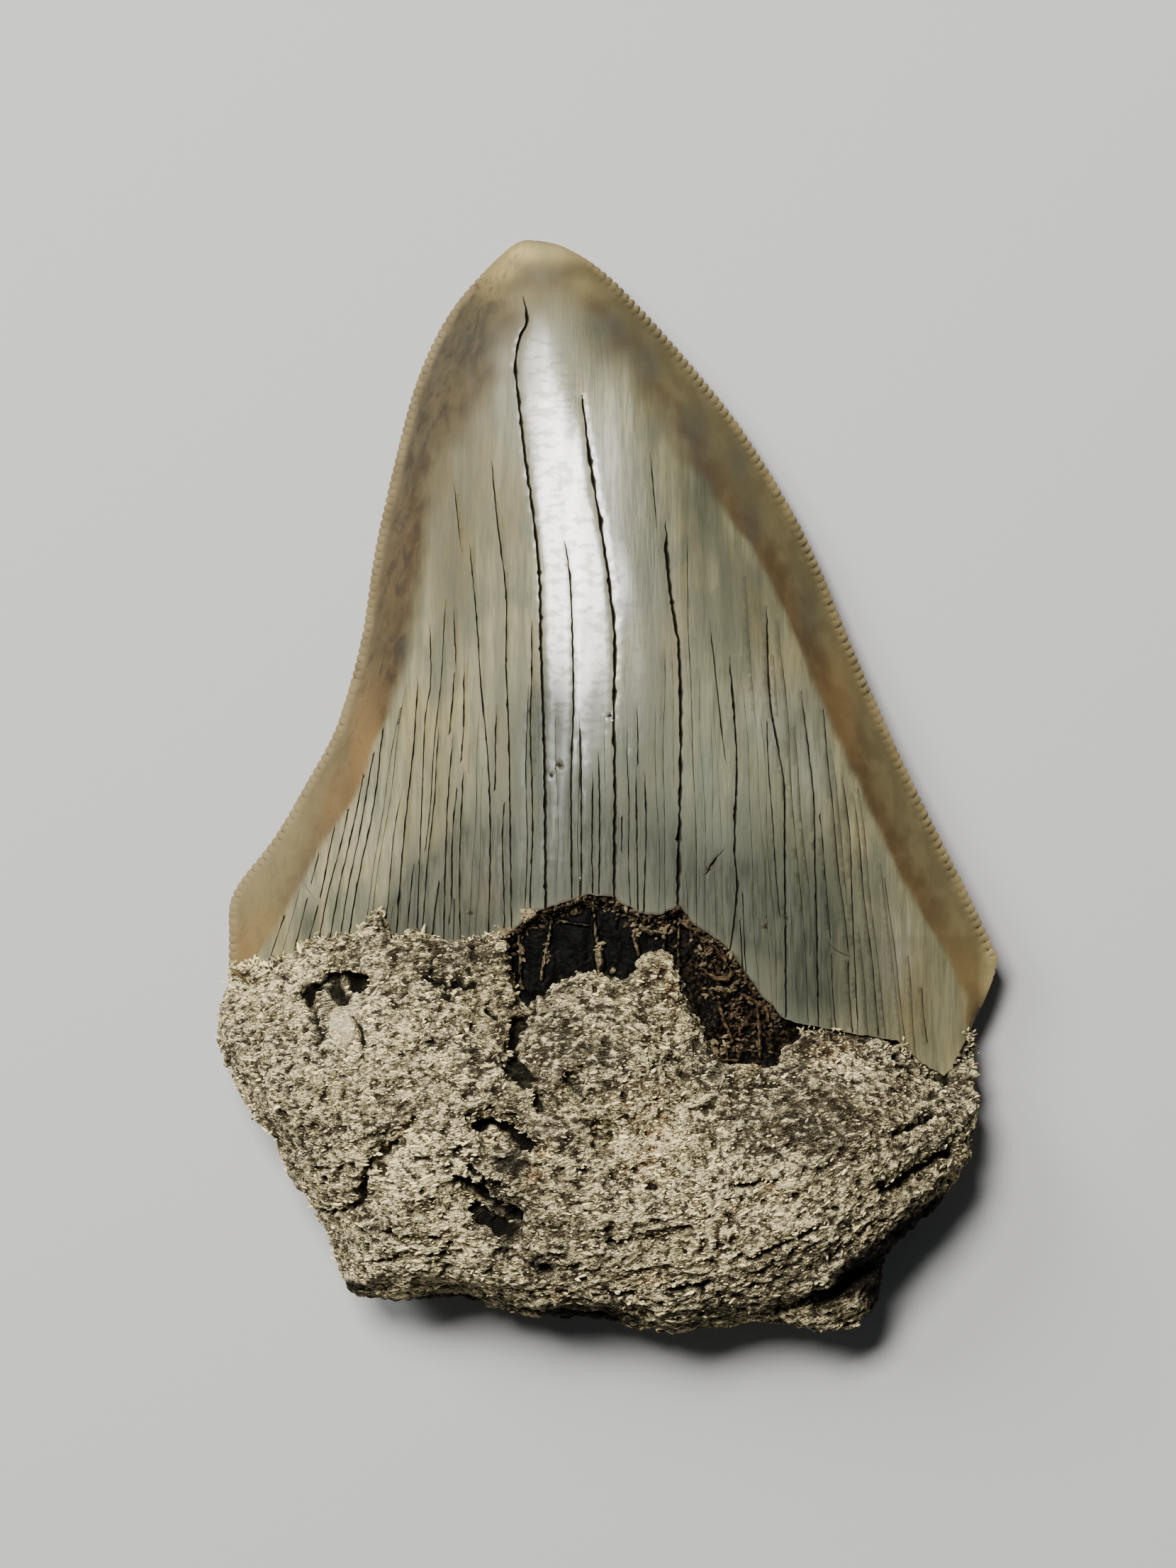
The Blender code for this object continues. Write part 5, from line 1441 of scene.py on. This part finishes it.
def build_root():
    """The root's own solid, parted from the crown and given its worn, porous surface."""
    solid = bpy.data.objects["tooth"]
    root = bpy.data.objects.new("root", solid.data.copy())
    bpy.context.scene.collection.objects.link(root)
    select_only(root)
    bpy.ops.object.mode_set(mode="EDIT")
    bpy.ops.mesh.select_all(action="SELECT")
    bpy.ops.mesh.remove_doubles(threshold=WELD * MM)
    bpy.ops.object.mode_set(mode="OBJECT")
    upper = [(x, y + OVERLAP * (LEFT_END_OVERLAP if x < LEFT_END_X else 1.0))
             for x, y in ragged(ROOT_UPPER_EDGE, RAGGED)]
    cut(root, block_above("upper_cut", upper, UPPER_ENDS, PARTING_Z, BLOCK_HIGH_Z))
    lower = [(x, y + OVERLAP) for x, y in ragged(BACK_BORDER, RAGGED)]
    cut(root, block_above("lower_cut", lower, LOWER_ENDS, BLOCK_LOW_Z, PARTING_Z + PARTING_LAP))
    remesh = root.modifiers.new("grains", "REMESH")
    remesh.mode = "VOXEL"
    remesh.voxel_size = GRAIN_VOXEL * MM
    bpy.ops.object.modifier_apply(modifier=remesh.name)
    thin_out_below(root, KEPT_BELOW)

    count = len(root.data.vertices)
    places = vectors_of(root.data.vertices, "co") / MM
    normals = vectors_of(root.data.vertices, "normal")
    xs, ys, zs = places.T
    facing = smoothstep(-0.2, 0.5, normals[:, 2])

    lean = smoothstep(6.0, 20.0, xs) * smoothstep(30.0, 38.0, -ys)
    fibre = (noise_at(places, 1.3, (2.6, 1.0, 1.0), 1.0, 3.0) * (1.0 - lean)
             + noise_at(places, 1.3, (2.8, 0.8, 1.0), 2.0, 32.0) * lean)
    crumbs = noise_at(places, 0.40, (1.4, 1.0, 1.0), 5.0)
    splinters = (noise_at(places, 0.62, (2.4, 1.0, 1.0), 15.0, 8.0) * (1.0 - lean)
                 + noise_at(places, 0.62, (2.8, 0.9, 1.0), 16.0, 34.0) * lean)
    patterns = {
        "lumps": noise_at(places, 2.6, shift=3.0),
        "fibre": fibre,
        "splinters": splinters,
        "crumbs": crumbs,
        "grain": joints_at(places, 0.95, (1.6, 1.0, 1.0), 4.0, 12.0) - MIDDLE_OF_GRAIN,
        "pore": smoothstep(0.30, 0.58, noise_at(places, 0.9, shift=8.0)),
    }
    calm = 1.0 - 0.8 * spot(xs, ys, *SMOOTH_WEDGE)
    relief = calm * sum(share * patterns[name] for name, share in IN_RELIEF.items())
    fleck = calm * sum(share * patterns[name] for name, share in IN_FLECKS.items())

    jag = 0.35 * noise_at(places, 0.6, shift=6.0) + 0.2 * crumbs
    dark = np.zeros(count)
    sink = np.zeros(count)
    # Each crevice is sunk into the surface and painted dark as shade.
    for depth, half, tone, way in CREVICES:
        off = nearest_on_way(xs, ys, way) + jag
        reach = 1.0 - smoothstep(0.4 * half, 1.5 * half, off)
        sink = np.maximum(sink, depth * reach)
        dark = np.maximum(dark, tone * reach)
    grey = patches(xs, ys, GREY)
    give_attribute(root, "pale", 0.5 + 0.5 * (patches(xs, ys, PALE) - grey))
    smooth = np.zeros(count)
    for x, y, half_x, half_y, turn, tall in NODULES:
        cos, sin = math.cos(math.radians(turn)), math.sin(math.radians(turn))
        right, up = (xs - x) * cos + (ys - y) * sin, (ys - y) * cos - (xs - x) * sin
        round_top = np.clip(1.25 - (right / half_x) ** 2 - (up / half_y) ** 2, 0.0, 1.0)
        sink -= tall * round_top * facing
        smooth = np.maximum(smooth, round_top)
    relief *= 1.0 - NODULE_SMOOTHNESS * smooth
    grounded = smoothstep(0.0, FREE_ABOVE_Z, zs)
    move = (relief - sink * facing) * grounded
    raised = places + normals * move[:, None]
    raised[:, 2] = np.where(zs < FLAT_BELOW_Z, np.maximum(raised[:, 2], 0.0), raised[:, 2])
    move_vertices(root, raised)
    # Painted shade: places sunk below their surroundings, the crevices and the shadowed low shelf and foot of
    # the root are stored as darkness.
    in_body = smoothstep(1.5, 4.0, border_y(ENAMEL_BORDER, xs) - ys) * smoothstep(0.35, 0.75, normals[:, 2])
    hollow = sunk_below(*raised.T) * in_body
    shadow = np.maximum(dark, HOLLOW_DARKNESS * smoothstep(*HOLLOW_DEPTH, hollow)) * facing
    give_attribute(root, "dark", np.maximum(shadow, patches(xs, ys, PAINTED_SHADOW)))
    give_attribute(root, "fleck", fleck * (1.0 - NODULE_SMOOTHNESS * smooth))
    give_attribute(root, "lean", lean)
    give_attribute(root, "grey", np.clip(grey + smooth, 0.0, 1.0) * facing)
    give_attribute(root, "rust", patches(xs, ys, RUST) * facing)
    give_attribute(root, "wedge", smoothstep(0.35, 0.6, spot(xs, ys, *SMOOTH_WEDGE)))
    shade(root, 75.0)
    return root


def fossil_bone():
    """Porous bone: sand-coloured grains, brown in its pores, where the darkness is painted shade, with rust
    and grey patches and painted shade in its crevices and hollows.
    """
    finish = Finish("fossil_bone", {"Roughness": 0.9, "IOR": 1.45, "Specular IOR Level": 0.12})
    mix, ease, stored = finish.mix, finish.ease, finish.stored
    joint, cell = finish.grains(0.42, (1.5, 1.0, 1.0), 12.0)
    fine_joint, fine_cell = finish.grains(0.24, (1.3, 1.0, 1.0), 40.0)
    tone = finish.noise(4.5, 4.0, (1.6, 1.0, 1.0))
    grain = finish.noise(0.55, 4.0, (1.6, 1.0, 1.0), rough=0.65)
    sand = mix(ease(tone, 0.38, 0.62), (0.190, 0.165, 0.104), (0.365, 0.300, 0.168))
    sand = mix(stored("rust") * ease(grain, 0.3, 0.55), sand, (0.34, 0.175, 0.060))
    sand = mix(stored("grey") * 0.75, sand, (0.070, 0.072, 0.060))
    lean = stored("lean")
    strand = finish.fibres(0.19, 3.4, 8.0) * (1.0 - lean) + finish.fibres(0.19, 3.4, 33.0) * lean
    # The level rises with the relief's flecks, so raised grains take the cream colour and pores the dark one,
    # partly as painted highlight and shade.
    level = stored("fleck") + (grain - 0.5) * 0.5 + (strand - 0.5) * 0.9
    level = level + (cell - 0.5) * 0.28 + (fine_cell - 0.5) * 0.22
    level = level + (stored("pale") - 0.5) * 0.46 + 0.05
    light = mix(ease(level, 0.02, 0.20) * 0.95, sand, (0.920, 0.785, 0.450))
    colour = mix(ease(level, -0.05, -0.28) * 0.94, light, (0.040, 0.030, 0.017))
    gap = (1.0 - ease(joint, 0.02, 0.18)) * 0.85
    colour = mix(gap * ease(grain, 0.62, 0.44), colour, (0.016, 0.012, 0.007))
    # Painted shade: small dark specks stand for the shade in the pores.
    pits = ease(finish.noise(0.40, 2.0, (1.5, 1.0, 1.0), (3.0, 3.0, 0.0), 12.0), 0.57, 0.66)
    colour = mix(pits * 0.88, colour, (0.013, 0.010, 0.006))
    pale = mix(ease(grain, 0.4, 0.6), (0.540, 0.430, 0.250), (0.760, 0.680, 0.480))
    colour = mix(stored("wedge") * 0.85, colour, pale)
    # Painted shade: the stored darkness blackens crevices, hollows, the low shelf and the foot of the root.
    painted_dark = ease(stored("dark") + (grain - 0.5) * 0.7, 0.3, 0.75)
    colour = mix(painted_dark * 0.96, colour, (0.006, 0.005, 0.003))
    finish.feed("Base Color", colour)
    stones = ease(joint, 0.0, 0.30) * 0.14 + ease(fine_joint, 0.0, 0.30) * 0.06 + cell * 0.06
    stones = stones + ease(strand, 0.38, 0.62) * 0.14
    grit = finish.bump(finish.noise(0.20, 5.0), 0.10)
    finish.feed("Normal", finish.bump(stones, 1.0, grit))
    return finish


def root_grains():
    """Pale grains of bone and sand that stand out of the root and along its ragged upper edge."""
    dice = np.random.default_rng(17)
    count = len(root.data.vertices)
    places = vectors_of(root.data.vertices, "co") / MM
    normals = vectors_of(root.data.vertices, "normal")
    painted_dark = np.empty(count, dtype=np.float32)
    root.data.attributes["dark"].data.foreach_get("value", painted_dark)
    order = dice.permutation(count)
    # No grains where the painted shade is dark.
    unshaded = painted_dark[order] < UNSHADED_BELOW
    order = order[(normals[order, 2] > LEAST_UPWARD) & unshaded & (places[order, 2] > LEAST_HEIGHT)]
    order = order[dice.uniform(0.0, 1.0, len(order)) > spot(*places[order, :2].T, *SMOOTH_WEDGE)]
    cells = (places[order, :2] / GRAIN_SPACING).astype(int)
    _, first = np.unique(cells, axis=0, return_index=True)
    chosen = order[first]
    sizes = np.clip(dice.lognormal(math.log(GRAIN_SIZE), 0.35, len(chosen)), *GRAIN_SIZES)
    centres = places[chosen] + normals[chosen] * (0.02 * sizes)[:, None]
    chosen_x, chosen_y = places[chosen, 0], places[chosen, 1]
    shade_here = 0.45 * (patches(chosen_x, chosen_y, PALE) - patches(chosen_x, chosen_y, GREY))
    tones = dice.beta(1.6, 1.9, len(chosen)) + shade_here + 0.5 * noise_at(places[chosen], 1.1)
    tones = np.clip(tones, 0.0, 1.0)
    turns = fibre_turn(chosen_x, chosen_y)

    edge_x = dice.uniform(EDGE_GRAINS_FROM_X, EDGE_GRAINS_TO_X, EDGE_GRAINS)
    edge_y = border_y(ENAMEL_BORDER, edge_x) + OVERLAP + dice.normal(-0.08, 0.24, EDGE_GRAINS)
    for x, y, half_x, half_y, amount in EDGE_CRUMBS:
        edge_x = np.append(edge_x, dice.normal(x, HEAP_SPREAD * half_x, amount))
        edge_y = np.append(edge_y, dice.normal(y, HEAP_SPREAD * half_y, amount))
    edge_size = np.clip(dice.lognormal(math.log(GRAIN_SIZE), 0.42, len(edge_x)), *EDGE_GRAIN_SIZES)
    edge_z = crown_front(edge_x, edge_y) + edge_size * dice.uniform(0.0, 1.4, len(edge_x))
    centres = np.vstack((centres, np.column_stack((edge_x, edge_y, edge_z))))
    sizes = np.concatenate((sizes, edge_size))
    edge_tones = dice.uniform(0.0, 0.66, len(edge_x)) + 0.4 * smoothstep(-30.5, -32.5, edge_x)
    tones = np.concatenate((tones, edge_tones))
    turns = np.concatenate((turns, dice.uniform(*EDGE_GRAIN_TURNS, len(edge_x))))
    return grains("root_grains", centres, sizes, turns, tones, seed=23, longest=3.0)


root = build_root()
fossil_bone().wear(root)
loose_grains = root_grains()
sediment("pale_grains", (0.060, 0.046, 0.023), (0.900, 0.755, 0.400)).wear(loose_grains)
for piece in (root, loose_grains):
    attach(piece, "root")
    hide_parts("tooth")

# ---------------------------------------------------------------------------------------------------
# The stage: a plain pale floor, a soft key light and a softer one from the upper left, and a camera
# that looks straight down on the tooth.
# ---------------------------------------------------------------------------------------------------
FRAME_HEIGHT = 145.1
FRAME_CENTRE_X = -1.87
CAMERA_HEIGHT = 450.0
EDGE_PLANE = 6.0
FLOOR_Z = -0.1

bpy.ops.object.select_all(action="DESELECT")
bpy.ops.mesh.primitive_plane_add(size=2.0, location=(0.0, 0.0, FLOOR_Z * MM))
floor = bpy.context.active_object
floor.name = "floor"
Finish("pale_floor", {"Base Color": (0.385, 0.385, 0.385, 1.0), "Roughness": 0.9}).wear(floor)

camera_data = bpy.data.cameras.new("camera")
camera_data.sensor_width = 36.0
camera_data.lens = camera_data.sensor_width * CAMERA_HEIGHT / FRAME_HEIGHT
camera = bpy.data.objects.new("camera", camera_data)
camera.location = (FRAME_CENTRE_X * MM, 0.0, (CAMERA_HEIGHT + EDGE_PLANE) * MM)
bpy.context.scene.collection.objects.link(camera)
bpy.context.scene.camera = camera


def softbox(name, left, up, distance, width, height, power, colour):
    """A soft light so many degrees to the left of straight up, and so many towards the tip."""
    data = bpy.data.lights.new(name, "AREA")
    data.shape = "RECTANGLE"
    data.size = width
    data.size_y = height
    data.energy = power
    data.color = colour
    lamp = bpy.data.objects.new(name, data)
    away = Vector((-math.tan(math.radians(left)), math.tan(math.radians(up)), 1.0)).normalized()
    lamp.location = away * distance
    lamp.rotation_euler = away.to_track_quat("Z", "Y").to_euler()
    bpy.context.scene.collection.objects.link(lamp)
    return lamp


softbox("key", 16.4, 24.3, 0.9, 0.35, 0.22, 18.4, (1.0, 0.985, 0.945))
side = softbox("side", 50.0, 40.0, 1.1, 0.45, 0.45, 11.5, (1.0, 1.0, 1.0))
side.visible_glossy = False

world = bpy.data.worlds.new("studio")
bpy.context.scene.world = world
world.use_nodes = True
world.node_tree.nodes["Background"].inputs["Color"].default_value = (0.9, 0.95, 1.0, 1.0)
world.node_tree.nodes["Background"].inputs["Strength"].default_value = 0.07
